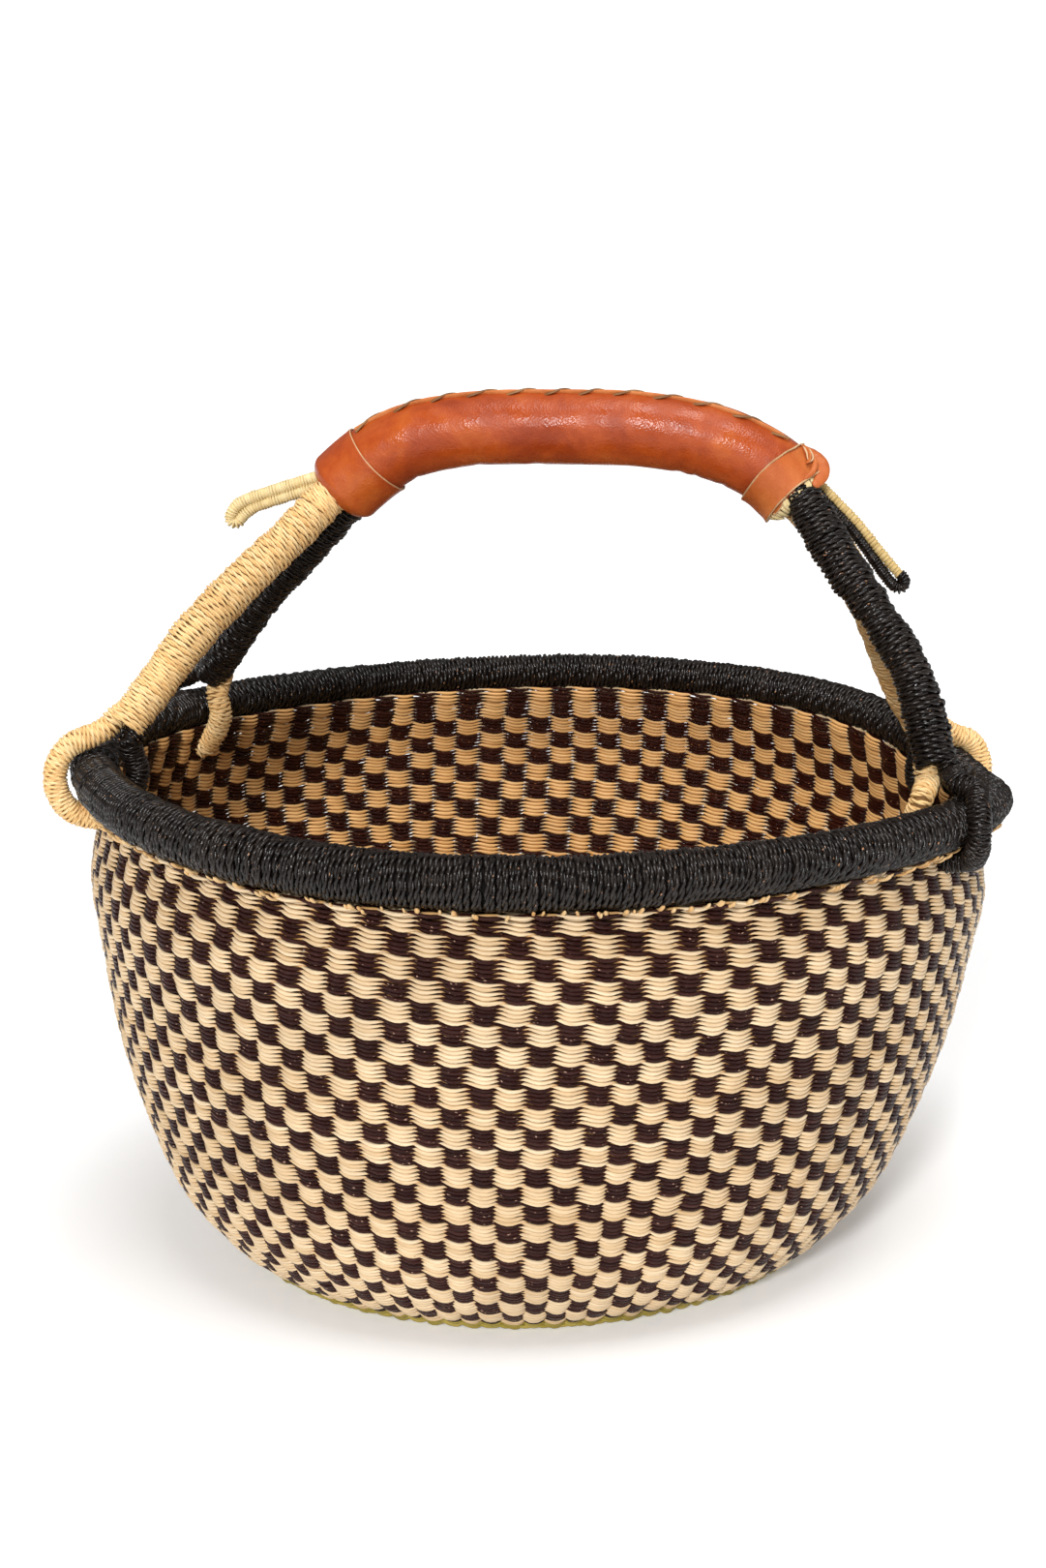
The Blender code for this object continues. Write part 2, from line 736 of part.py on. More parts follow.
def make_eyes():
    for name, line, left, outer_slot, inner_slot in (
        ("front_left", FRONT_ARCH, True, "natural_straw", "black_grass"),
        ("front_right", FRONT_ARCH, False, "black_grass", "natural_straw"),
        ("rear_left", REAR_ARCH, True, "black_grass", "natural_straw"),
        ("rear_right", REAR_ARCH, False, "natural_straw", "black_grass"),
    ):
        angle = FEET[name]
        foot, above = (line[0], line[1]) if left else (line[-1], line[-2])
        down = (foot - above).normalized()
        outwards = Vector((math.cos(angle), math.sin(angle), 0.0))
        across = (outwards - down * outwards.dot(down)).normalized()
        start = foot + down * FIT_GAP
        half_gap = across * (EYE_RADIUS + FIT_GAP / 2.0)
        reach = eye_reach(angle)
        meet = eye_meet(angle)
        for side, slot, turns, bend in (
            (1.0, outer_slot, OUTER_EYE_ANGLES, OUTER_BEND_SHARES),
            (-1.0, inner_slot, INNER_EYE_ANGLES, INNER_BEND_SHARES),
        ):
            first = start + half_gap * side
            points = [first, first + down * EYE_LEAD]
            for turn in turns:
                bearing = turn * DEG
                wide = reach if side > 0.0 else reach * INNER_REACH_SHARE
                out = wide * math.cos(bearing)
                place = eye_angle(name, angle, out)
                points.append(rim_point(place, out, wide * math.sin(bearing)))
            out = reach * bend[0]
            points.append(rim_point(eye_angle(name, angle, out), out, -reach * bend[1]))
            for stub in (EYE_STUB, 0.0):
                out = meet + side * (FIT_GAP / 2.0 + stub)
                points.append(rim_point(eye_angle(name, angle, 0.0), out, -reach))
            label = name + ("_outer_eye" if side > 0.0 else "_inner_eye")
            tube(label, slot, points, EYE_RADIUS, 10)


def make_grip():
    padding = bake(tube("grip_padding", "natural_straw", GRIP_PATH, PADDING_RADIUS, 16))
    for line, label in ((FRONT_ARCH, "front"), (REAR_ARCH, "rear")):
        cutter = tube(label + "_bore_cutter", None, line, LEG_CORE_RADIUS + FIT_GAP, 6,
                      collection=cutters)
        cut(padding, bake(cutter), label + " bore")
    smooth_faces(padding)
    sleeve("grip_leather", "tan_leather", GRIP_PATH, GRIP_RADIUS, PADDING_RADIUS + FIT_GAP, 16)

    total = line_length(GRIP_PATH)
    collar_radius = GRIP_RADIUS + FIT_GAP + COLLAR_THICKNESS
    for name, slot, start, end in (
        ("left_collar", "tan_leather", COLLAR_SETBACK, LEFT_COLLAR_LENGTH),
        ("right_collar", "pale_leather", total - RIGHT_COLLAR_LENGTH, total - COLLAR_SETBACK),
    ):
        stops = [frame_at(GRIP_PATH, start + (end - start) * i / 4)[0] for i in range(5)]
        sleeve(name, slot, stops, collar_radius, GRIP_RADIUS + FIT_GAP, 16)

    radius = collar_radius + FIT_GAP + KNOT_RADIUS
    knot = []
    for turn, way in KNOT_SHARES:
        distance = total - RIGHT_COLLAR_LENGTH * (1.0 - min(way, 1.0))
        place, direction, normal = frame_at(GRIP_PATH, distance)
        bearing = turn * 2.0 * math.pi
        side = Vector((0.0, -1.0, 0.0))
        knot.append(place + (normal * math.cos(bearing) + side * math.sin(bearing)) * radius)
    tube("band_knot", "pale_leather", smooth(knot, 2), KNOT_RADIUS, 8)


def make_lace():
    total = line_length(GRIP_PATH)
    start = LEFT_COLLAR_LENGTH + LACE_RADIUS + FIT_GAP
    end = total - RIGHT_COLLAR_LENGTH - LACE_RADIUS - FIT_GAP
    stitches = max(2, round((end - start) / LACE_PITCH))
    radius = GRIP_RADIUS + LACE_GAP + LACE_RADIUS
    points = []
    for i in range(2 * stitches + 1):
        place, direction, normal = frame_at(GRIP_PATH, start + (end - start) * i / (2 * stitches))
        bearing = math.asin(LACE_SWAY / radius) * (1.0 if i % 2 else -1.0)
        side = Vector((0.0, 1.0, 0.0))
        points.append(place + (normal * math.cos(bearing) + side * math.sin(bearing)) * radius)
    tube("seam_lace", "lace_leather", points, LACE_RADIUS, 6)


def tail_path(left, lift, side, length, spread, flare):
    """A cord that stands out from the end of the grip, turns and comes back."""
    end, along_grip = grip_end(left)
    level = Vector((along_grip.x, 0.0, 0.0)).normalized()
    outwards = along_grip.lerp(level, flare).normalized()
    square = Vector((-along_grip.z, 0.0, along_grip.x))
    normal = Vector((-outwards.z, 0.0, outwards.x))
    if normal.z < 0.0:
        normal.negate()
        square.negate()
    start = end + square * lift + Vector((0.0, side, 0.0)) - outwards * TAIL_RADIUS * 2.0
    half = spread / 2.0
    straight = length - half
    points = [start + normal * half, start + normal * half + outwards * straight]
    for i in range(1, TAIL_TURN_POINTS):
        turn = math.pi * i / TAIL_TURN_POINTS
        points.append(start + outwards * (straight + half * math.sin(turn))
                      + normal * half * math.cos(turn))
    points += [start - normal * half + outwards * straight, start - normal * half]
    return points


def make_tails(ends):
    """The left end is one doubled cord. On the right its lower half is black and its
    upper half straw."""
    left = tail_path(True, TAIL_LIFT, LEFT_TAIL_SIDE, LEFT_TAIL_LENGTH, LEFT_TAIL_SPREAD,
                     LEFT_TAIL_FLARE_SHARE)
    right = tail_path(False, TAIL_LIFT, RIGHT_TAIL_SIDE, RIGHT_TAIL_LENGTH,
                      RIGHT_TAIL_SPREAD, RIGHT_TAIL_FLARE_SHARE)
    for name, slot, at_left, path in (
        ("left_tail_loop", "natural_straw", True, left),
        ("right_black_tail", "black_grass", False, right[TAIL_COLOUR_STEPS:]),
        ("right_straw_tail", "natural_straw", False, right[:2]),
    ):
        tail = bake(tube(name, slot, path, TAIL_RADIUS, 8))
        cut(tail, ends[at_left], "Grip end")
        smooth_faces(tail)


def main():
    clear_scene()
    make_base()
    make_wall()
    make_stakes()
    make_rim()
    ends = grip_end_cutters()
    make_legs(ends)
    make_eyes()
    make_grip()
    make_lace()
    make_tails(ends)


main()
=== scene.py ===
"""Looks for the round twined-grass basket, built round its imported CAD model.

All shape work is done in millimetres with numpy and turned into metres when a mesh is
made. Every strand of the weave and of the windings is modelled.
"""

import math

import bpy
import numpy as np
from mathutils import Matrix, Vector


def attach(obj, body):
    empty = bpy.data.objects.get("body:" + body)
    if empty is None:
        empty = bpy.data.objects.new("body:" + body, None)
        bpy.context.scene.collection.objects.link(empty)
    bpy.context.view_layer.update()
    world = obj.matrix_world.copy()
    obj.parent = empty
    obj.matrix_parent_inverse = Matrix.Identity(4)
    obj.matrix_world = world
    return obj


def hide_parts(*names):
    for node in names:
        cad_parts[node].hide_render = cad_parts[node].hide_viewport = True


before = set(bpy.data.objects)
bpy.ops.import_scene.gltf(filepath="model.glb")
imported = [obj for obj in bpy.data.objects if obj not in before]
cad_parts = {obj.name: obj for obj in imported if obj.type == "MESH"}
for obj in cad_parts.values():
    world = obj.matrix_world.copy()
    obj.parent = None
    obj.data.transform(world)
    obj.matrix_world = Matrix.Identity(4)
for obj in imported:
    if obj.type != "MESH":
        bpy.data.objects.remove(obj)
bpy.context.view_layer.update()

MM = 0.001
DEG = math.pi / 180.0
FULL = 2.0 * math.pi
BODY = "root"

# Shape of the body, as in the CAD model

RIM_RADIUS = 190.0
RIM_HEIGHT = 206.0
RIM_TUBE_RADIUS = 10.5
RIM_SWELL_SHARE = 0.095
RIM_SWELL_ANGLE = 270.0 * DEG
RIM_TILT = 9.2
RIM_TILT_ANGLE = 220.0 * DEG
RIM_WAVE = 1.8
RIM_WAVE_ANGLE = 73.0 * DEG
RIM_WAVES = 3
RIM_OVAL = 2.9
RIM_OVAL_ANGLE = 47.0 * DEG
RIM_DIP = 12.0
RIM_DIP_ANGLE = 18.0 * DEG
RIM_DIP_SPREAD = 20.0 * DEG
RIM_DIP_FULL_SHARE = 0.89
BODY_LEAN = 10.5
BODY_LEAN_ANGLE = 187.5 * DEG
BODY_LEAN_POWER = 0.8
BODY_RADIUS = RIM_RADIUS + 1.7
WALL_TOP = RIM_HEIGHT - RIM_TUBE_RADIUS * (1.0 + RIM_SWELL_SHARE) - 0.5
WALL_THICKNESS = 5.0
WALL_MIDDLE = WALL_THICKNESS / 2.0
# Shares of the wall's height and of the body's radius
BODY_PROFILE_SHARES = (
    (0.00, 0.658), (0.02, 0.677), (0.05, 0.718), (0.10, 0.764), (0.18, 0.824),
    (0.32, 0.883), (0.50, 0.941), (0.70, 0.979), (0.85, 1.000), (1.00, 0.969),
)


def smooth(points, steps):
    """Catmull-Rom curve through points of any dimension."""
    points = np.asarray(points, float)
    points = np.concatenate([points[:1] * 2.0 - points[1:2], points,
                             points[-1:] * 2.0 - points[-2:-1]])
    t = (np.arange(steps) / steps)[:, None]
    result = [0.5 * (a * 2.0 + (b - before) * t
                     + (before * 2.0 - a * 5.0 + b * 4.0 - after) * t * t
                     + (a * 3.0 - before - b * 3.0 + after) * t ** 3)
              for before, a, b, after in zip(points, points[1:], points[2:], points[3:])]
    return np.concatenate(result + [points[-2:-1]])


PROFILE = smooth([(h * WALL_TOP, w * BODY_RADIUS) for h, w in BODY_PROFILE_SHARES], 8)
PROFILE = np.concatenate([PROFILE, PROFILE[-1:] + (PROFILE[-1] - PROFILE[-2]) * 2.0])
PROFILE_ARC = np.append(0.0, np.cumsum(np.hypot(*np.diff(PROFILE, axis=0).T)))
ARC_TOP = PROFILE_ARC[-2]
PROFILE_RISE = np.gradient(PROFILE[:, 0], PROFILE_ARC)
PROFILE_FLARE = np.gradient(PROFILE[:, 1], PROFILE_ARC)


def rim_dip(angle, share):
    """How far the rim's sag lowers a place at an angle and a share of the rim's height."""
    aside = ((angle - RIM_DIP_ANGLE + math.pi) % FULL - math.pi) / RIM_DIP_SPREAD
    rise = np.minimum(share / RIM_DIP_FULL_SHARE, 1.0)
    return RIM_DIP * np.exp(-aside * aside) * rise * rise * (3.0 - 2.0 * rise)


def warp(p):
    """The hand-made lean, tilt, oval and dip of the body, growing towards the rim."""
    x, y, z = p[..., 0], p[..., 1], p[..., 2]
    share = np.clip(z / RIM_HEIGHT, 0.0, 1.0)
    pull = share * share
    angle = np.arctan2(y, x)
    lift = RIM_TILT * np.cos(angle - RIM_TILT_ANGLE)
    lift = lift + RIM_WAVE * np.cos(RIM_WAVES * (angle - RIM_WAVE_ANGLE))
    oval = 1.0 + pull * RIM_OVAL / RIM_RADIUS * np.cos(2.0 * (angle - RIM_OVAL_ANGLE))
    lean = BODY_LEAN * (1.0 - share) ** BODY_LEAN_POWER
    return np.stack([x * oval + lean * math.cos(BODY_LEAN_ANGLE),
                     y * oval + lean * math.sin(BODY_LEAN_ANGLE),
                     z + lift * pull - rim_dip(angle, share)], -1)


def round_place(r, angle, z):
    """A place of the body from its distance from the axis, its angle and its height."""
    return warp(np.stack(np.broadcast_arrays(r * np.cos(angle), r * np.sin(angle), z), -1))


def wall_radius(z):
    return np.interp(z, PROFILE[:, 0], PROFILE[:, 1])


def wall_place(arc, angle, depth):
    """A place given by arc length up the outer face, angle, and depth into the wall."""
    z, r, rise, flare = (np.interp(arc, PROFILE_ARC, values)
                         for values in (*PROFILE.T, PROFILE_RISE, PROFILE_FLARE))
    return round_place(r - depth * rise, angle, z + depth * flare)


def swell(angle):
    """The rim's thickness at an angle, as a share of the plain one."""
    return 1.0 + RIM_SWELL_SHARE * np.cos(angle - RIM_SWELL_ANGLE)


def rim_place(angle, out, up):
    """A place given by its distance out from and above the rim's centre line."""
    return round_place(RIM_RADIUS + out, angle, RIM_HEIGHT + up)


# Noise and meshes

def wobble(seed, *coords):
    """Smooth pseudo-random field from a few sine waves, about -1 to 1."""
    rng = np.random.default_rng(seed)
    waves, total = 4, 0.0
    for _ in range(waves):
        phase = rng.uniform(0.0, FULL)
        for c in coords:
            phase = phase + c * rng.uniform(0.6, 1.8) * rng.choice((-1.0, 1.0))
        total = total + np.sin(phase)
    return total / waves * 1.3


def around(seed, angle, waves, other=0.0):
    """The same for an angle, so that it closes round a full turn."""
    rng = np.random.default_rng(seed)
    return sum(np.sin(wave * angle + rng.uniform(0.0, FULL) + other * rng.uniform(0.5, 1.5))
               for wave in waves) / len(waves)


def add_object(name, data):
    thing = bpy.data.objects.new(name, data)
    bpy.context.scene.collection.objects.link(thing)
    return thing


def make_mesh(name, verts, quads, look, replaces=(), strand=None, tint=None, inner=None):
    """A piece from numpy arrays, with a look of (material, slot); the slot is not used. strand is
    the UV of each face corner; tint and inner are values of the vertices."""
    mesh = bpy.data.meshes.new(name)
    mesh.vertices.add(len(verts))
    mesh.vertices.foreach_set("co", (verts * MM).astype(np.float32).ravel())
    mesh.loops.add(quads.size)
    mesh.loops.foreach_set("vertex_index", quads.astype(np.int32).ravel())
    mesh.polygons.add(len(quads))
    mesh.polygons.foreach_set("loop_start", np.arange(0, quads.size, 4, dtype=np.int32))
    mesh.polygons.foreach_set("loop_total", np.full(len(quads), 4, np.int32))
    mesh.polygons.foreach_set("use_smooth", np.full(len(quads), True))
    if strand is not None:
        layer = mesh.uv_layers.new(name="strand")
        layer.data.foreach_set("uv", strand.astype(np.float32).ravel())
    # inner is 1 on the weave's inner face, where the materials paint shade
    for label, values in (("tint", tint), ("inner", inner)):
        if values is not None:
            layer = mesh.attributes.new(label, "FLOAT", "POINT")
            layer.data.foreach_set("value", values.astype(np.float32).ravel())
    mesh.update(calc_edges=True)
    mesh.validate()
    material, slot = look
    mesh.materials.append(material)
    piece = add_object(name, mesh)
    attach(piece, BODY)
    if replaces:
        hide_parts(*replaces)


def make_strands(name, parts, look, replaces=(), inner=None):
    """One piece from what several calls of sweep return."""
    verts, quads, strand, tint = zip(*parts)
    starts = np.cumsum([0] + [len(v) for v in verts])
    quads = np.concatenate([q + start for q, start in zip(quads, starts)])
    make_mesh(name, np.concatenate(verts), quads, look, replaces, np.concatenate(strand),
              np.concatenate(tint), inner)


def unit(v):
    return v / np.maximum(np.linalg.norm(v, axis=-1, keepdims=True), 1e-12)


PINCH = 0.12
UV_ROUND = 5.0
UV_START = 900.0


def sweep(centre, normal, flat, wide, sides, closed, seed, tint=None, pinch=True):
    """Strands along many paths at once. centre and normal are (paths, points, 3);
    flat and wide are the half sizes along the normal and across it."""
    paths, points = centre.shape[:2]
    if closed:
        along = unit(np.roll(centre, -1, 1) - np.roll(centre, 1, 1))
    else:
        along = unit(np.gradient(centre, axis=1))
    normal = unit(normal - along * (normal * along).sum(-1, keepdims=True))
    side = np.cross(along, normal)
    flat, wide = (np.broadcast_to(size, (paths, points)).copy() for size in (flat, wide))
    if pinch and not closed:
        for size in (flat, wide):
            size[:, [0, -1]] *= PINCH
    turn = FULL * (np.arange(sides) + 0.5) / sides
    ring = (flat[..., None, None] * np.cos(turn)[:, None] * normal[:, :, None, :]
            + wide[..., None, None] * np.sin(turn)[:, None] * side[:, :, None, :])
    verts = (centre[:, :, None, :] + ring).reshape(-1, 3)
    index = np.arange(paths * points * sides).reshape(paths, points, sides)
    first = index if closed else index[:, :-1]
    second = np.roll(index, -1, 1) if closed else index[:, 1:]
    quads = np.stack([first, np.roll(first, -1, 2), np.roll(second, -1, 2), second], -1)
    step = np.linalg.norm(np.roll(centre, -1, 1) - centre, axis=-1)
    rng = np.random.default_rng(seed)
    start = np.concatenate([np.zeros((paths, 1)), np.cumsum(step, 1)[:, :-1]], 1)
    start = start + rng.uniform(0.0, UV_START, (paths, 1))
    rows = first.shape[1]
    uv = np.empty(first.shape + (4, 2))
    uv[..., 0:2, 0] = start[:, :rows, None, None]
    uv[..., 2:4, 0] = (start + step)[:, :rows, None, None]
    uv[..., [0, 3], 1] = (np.arange(sides) / sides * UV_ROUND)[:, None]
    uv[..., [1, 2], 1] = ((np.arange(sides) + 1.0) / sides * UV_ROUND)[:, None]
    if tint is None:
        tint = rng.uniform(0.0, 1.0, (paths, 1))
    tints = np.broadcast_to(np.asarray(tint)[..., None], (paths, points, sides))
    return verts, quads.reshape(-1, 4), uv.reshape(-1, 2), tints.reshape(-1)


def strip(centre, outer, flat, wide, sides, seed):
    """One open strand; outer is a second path, on the side that its normal points to."""
    return sweep(centre[None], (outer - centre)[None], flat, wide, sides, False, seed)


# Materials

class Shade:
    """The nodes of a new material."""

    def __init__(self, name):
        self.material = bpy.data.materials.new(name)
        self.material.use_nodes = True
        self.tree = self.material.node_tree
        self.shader = self.tree.nodes["Principled BSDF"]

    def feed(self, node, inputs):
        """Each input takes a value or another node's output."""
        for key, value in inputs.items():
            socket = node.inputs[key]
            if isinstance(value, bpy.types.NodeSocket):
                self.tree.links.new(value, socket)
            else:
                socket.default_value = (*value, 1.0) if socket.type == "RGBA" else value

    def add(self, kind, inputs, **settings):
        node = self.tree.nodes.new("ShaderNode" + kind)
        for key, value in settings.items():
            setattr(node, key, value)
        self.feed(node, inputs)
        return node

    def attribute(self, name):
        return self.add("Attribute", {}, attribute_name=name).outputs["Fac"]

    def strand(self, along, across):
        """Coordinates that run along the strand, at a scale along and across it."""
        uv = self.add("UVMap", {}, uv_map="strand").outputs["UV"]
        mapping = self.add("Mapping", {"Vector": uv, "Scale": (along, across, 1.0)})
        return mapping.outputs["Vector"]

    def noise(self, vector, scale, detail, rough, distortion=0.0):
        return self.add("TexNoise", {"Vector": vector, "Scale": scale, "Detail": detail,
                                     "Roughness": rough, "Distortion": distortion}).outputs["Fac"]

    def spread(self, value, low, high, to_low=0.0, to_high=1.0):
        return self.add("MapRange", {"Value": value, "From Min": low, "From Max": high,
                                     "To Min": to_low, "To Max": to_high}).outputs["Result"]

    def mix(self, factor, a, b, kind="MIX"):
        node = self.add("Mix", {}, data_type="RGBA", blend_type=kind)
        self.feed(node, {"Factor": factor, 6: a, 7: b})
        return node.outputs[2]

    def ramp(self, value, stops):
        node = self.add("ValToRGB", {"Fac": value})
        elements = node.color_ramp.elements
        elements.new(0.5)
        for element, (place, colour) in zip(elements, stops):
            element.position = place
            element.color = (*colour, 1.0)
        return node.outputs["Color"]

    def bump(self, height, strength, distance, below=None):
        inputs = {"Height": height, "Strength": strength, "Distance": distance * MM}
        if below is not None:
            inputs["Normal"] = below
        return self.add("Bump", inputs).outputs["Normal"]

    def finish(self, colour, rough, normal, specular):
        self.feed(self.shader, {"Base Color": colour, "Roughness": rough, "Normal": normal,
                                "Specular IOR Level": specular})
        return self.material


def dimmed(colour, share):
    return tuple(c * share for c in colour)


# Painted shade: the face of the weave towards the inside is darkened and warmed,
# standing in for the shade and warm bounce light inside the basket
INNER_PAINTED_SHADE = (0.93, 0.70, 0.42)


def grass(name, low, middle, high, fleck, middle_at=0.4, flecks=0.24, rough=0.45, specular=0.3,
          bump=0.25, streak=0.35, blotch=0.3, fibre=3.0):
    """Dry or dyed grass: fibres along the strand, strand to strand colour, flecks, and painted
    shade on the weave's inner face.
    """
    shade = Shade(name)
    place = shade.add("TexCoord", {}).outputs["Object"]
    fine = shade.noise(shade.strand(0.16, fibre), 1.0, 3.0, 0.6)
    slow = shade.noise(shade.strand(0.035, 0.25), 1.0, 2.0, 0.5)
    spots = shade.noise(shade.strand(0.45, 0.8), 1.0, 1.0, 0.5)
    patch = shade.noise(place, 22.0, 2.0, 0.5)
    tint = shade.spread(shade.attribute("tint"), 0.0, 1.0, 0.0, 0.55)
    tone = shade.add("Math", {0: shade.spread(slow, 0.25, 0.75), 1: 0.45, 2: tint},
                     operation="MULTIPLY_ADD").outputs[0]
    colour = shade.ramp(tone, ((0.0, low), (middle_at, middle), (1.0, high)))
    for factor, over in ((shade.spread(fine, 0.62, 0.36, 0.0, streak), dimmed(low, 0.45)),
                         (shade.spread(patch, 0.45, 0.75, 0.0, blotch), dimmed(low, 0.62)),
                         (shade.spread(spots, 1.0 - flecks, 1.04 - flecks, 0.0, 0.85), fleck)):
        colour = shade.mix(factor, colour, over)
    # Painted shade and warm bounce light on the weave's inner face, where the inner attribute is
    # 1
    colour = shade.mix(shade.attribute("inner"), colour, INNER_PAINTED_SHADE, "MULTIPLY")
    return shade.finish(colour, shade.spread(fine, 0.3, 0.7, rough + 0.12, rough - 0.06),
                        shade.bump(fine, bump, 0.5), specular)


STRAW = grass("straw_weft", (0.60, 0.385, 0.18), (0.79, 0.58, 0.345), (0.89, 0.72, 0.49),
              (0.22, 0.08, 0.03), 0.35, specular=0.4)
# Partly a warmer straw tone of its own, partly painted light: the windings' straw is brighter
# than the weft's to make up for the shade between their round cords
STRAW_WRAP_LIT = grass("straw_wrap_painted_light", (0.76, 0.43, 0.15), (0.95, 0.63, 0.28), (1.0, 0.78, 0.44),
                   (0.26, 0.11, 0.04), bump=0.3, streak=0.25)
STRAW_PALE = grass("straw_pale", (0.70, 0.52, 0.23), (0.84, 0.66, 0.34), (0.92, 0.78, 0.47),
                   (0.34, 0.18, 0.07), rough=0.48, bump=0.3, streak=0.25)
# Painted shade: a darker copy of the straw, for the right straw tail, which lies in shade
STRAW_SHADED = grass("straw_painted_shade", (0.50, 0.34, 0.12), (0.66, 0.47, 0.19), (0.78, 0.60, 0.29),
                  (0.24, 0.12, 0.05), rough=0.48, bump=0.3, streak=0.25)
DARK = grass("dark_weft", (0.019, 0.0026, 0.0014), (0.034, 0.0064, 0.0044),
             (0.078, 0.025, 0.019), (0.52, 0.31, 0.22), 0.45, 0.305, 0.24, 0.15, bump=0.9,
             streak=0.6, fibre=5.0)
BLACK = grass("black_wrap", (0.0045, 0.0027, 0.0021), (0.012, 0.0080, 0.0062),
              (0.028, 0.019, 0.015), (0.48, 0.24, 0.12), 0.5, 0.285, 0.20, 0.34, streak=0.5,
              blotch=0.1)
# Dyed yellow rows at the foot: partly their dye's colour, partly painted shade, darkened for the
# contact shadow there
YELLOW = grass("yellow_weft", (0.24, 0.18, 0.02), (0.38, 0.29, 0.04), (0.52, 0.40, 0.09),
               (0.25, 0.14, 0.03), 0.5, specular=0.4)
STAKE = grass("stake_grass", (0.58, 0.27, 0.08), (0.78, 0.49, 0.21), (0.90, 0.68, 0.38),
              (0.12, 0.05, 0.02), 0.4, 0.3, 0.55, 0.35, bump=0.5)
# Painted shade: the rim's bundle of stake grass is coloured near black, so the gaps in its
# winding read as shade
RIM_BUNDLE_SHADE = grass("rim_bundle_painted_shade", (0.003, 0.002, 0.002), (0.005, 0.004, 0.004),
                  (0.009, 0.007, 0.006), (0.02, 0.01, 0.006), 0.5, 0.2, 0.85, 0.1)
# Painted shade: a dark brown copy of the stake grass, for the stakes inside the weave and the
# straw cores inside the windings, which show only in gaps and slits
SHADED_CORE = grass("cord_core", (0.16, 0.075, 0.022), (0.24, 0.12, 0.038), (0.34, 0.18, 0.06),
             (0.08, 0.035, 0.012), 0.5, 0.3, 0.7)


def leather(name, base, light, dark, rough, grain=0.35, scuff=0.5):
    """Dyed leather: broad and fine mottling, dark scuffs, grain, and smoother patches."""
    shade = Shade(name)
    place = shade.add("TexCoord", {}).outputs["Object"]
    broad = shade.noise(place, 38.0, 4.0, 0.6, 0.4)
    small = shade.noise(place, 260.0, 3.0, 0.6)
    marks = shade.noise(place, 95.0, 5.0, 0.7, 1.2)
    creases = shade.noise(place, 520.0, 4.0, 0.65)
    patches = shade.noise(place, 75.0, 2.0, 0.5)
    cells = shade.add("TexVoronoi", {"Vector": place, "Scale": 1100.0}).outputs["Distance"]
    colour = shade.ramp(broad, ((0.34, dark), (0.5, base), (0.66, light)))
    colour = shade.mix(shade.spread(small, 0.35, 0.65, 0.0, 0.22), colour, dark)
    colour = shade.mix(shade.spread(marks, 0.66, 0.74, 0.0, scuff), colour, dimmed(base, 0.35))
    fine = shade.bump(shade.mix(0.5, cells, creases), grain, 0.5)
    return shade.finish(colour, shade.spread(patches, 0.42, 0.58, rough + 0.18, rough - 0.05),
                        shade.bump(patches, 0.4, 1.5, fine), 0.30)


TAN = leather("tan_leather", (0.385, 0.062, 0.009), (0.47, 0.098, 0.016), (0.27, 0.036, 0.006),
              0.28, grain=0.4)
PALE = leather("pale_leather", (0.47, 0.112, 0.024), (0.56, 0.165, 0.042),
               (0.38, 0.078, 0.015), 0.42, scuff=0.2)
EDGE = leather("leather_edge", (0.54, 0.33, 0.17), (0.66, 0.46, 0.27), (0.36, 0.20, 0.09),
               0.7, grain=0.6, scuff=0.3)
LACE = leather("lace_leather", (0.24, 0.11, 0.042), (0.38, 0.20, 0.085), (0.13, 0.058, 0.022),
               0.55, scuff=0.4)
FLAP = leather("flap_leather", (0.52, 0.16, 0.04), (0.62, 0.24, 0.08), (0.38, 0.10, 0.022),
               0.5, scuff=0.3)

STRAW_LOOK = (STRAW, "natural_straw")
DARK_LOOK = (DARK, "black_grass")
BLACK_LOOK = (BLACK, "black_grass")
TAN_LOOK = (TAN, "tan_leather")
PALE_LOOK = (PALE, "pale_leather")
PALE_EDGE_LOOK = (EDGE, "pale_leather")

# Woven wall

STAKES = 104
STAKE_PHASE = 277.75 * DEG
STAKE_JITTER = 0.13
STAKE_LEVELS = 7
STAKE_SHIFTS = np.random.default_rng(7).uniform(-1.0, 1.0, (STAKES, STAKE_LEVELS)) * STAKE_JITTER
STAKE_SIZE = (0.62, 1.15)
STAKE_POINTS = 40
FAN_SHARE = 0.075
FAN_ANGLE = 275.0 * DEG
FAN_POWER = 1.6
CHECK_ROWS = 5
CHECK_TOP_HEIGHT = 8.75
CHECK_FOOT_HEIGHT = 10.6
# Arc lengths up from the base: the last change of the checks, the first row, the last dyed row
CHECKS_END = 8.0
ROWS_START = 1.4
DYED_END = 5.0
WALL_BANDS = 5
WEFT_SIDES = 6
WEFT_SWING = 1.42
WEFT_SLANT = 0.52
WEFT_DROOP = 0.65
WEFT_SAMPLES = np.array((-0.5, -0.37, -0.18, 0.0, 0.18, 0.37))
# Straw and dark strands: sign of the swing, how far proud, half thickness, half width in
# pitches where they cross and where they are outermost, and the power between the two
WEFT_STRANDS = ((1, 0.17, 0.92, 0.12, 0.555, 0.55), (-1, -0.07, 0.74, 0.26, 0.54, 0.8))
# Slow rise and fall of the rows: size, seed, waves round the wall, height of a change
WEFT_DRIFTS = ((1.1, 3, (2, 3, 5, 7), 45.0), (0.45, 4, (11, 17, 23, 31), 14.0))
DRIFT_FADE_TOP = 25.0
DRIFT_FADE_FOOT = 12.0
CELL_JITTER = 0.055
TIP_JITTER = 0.05
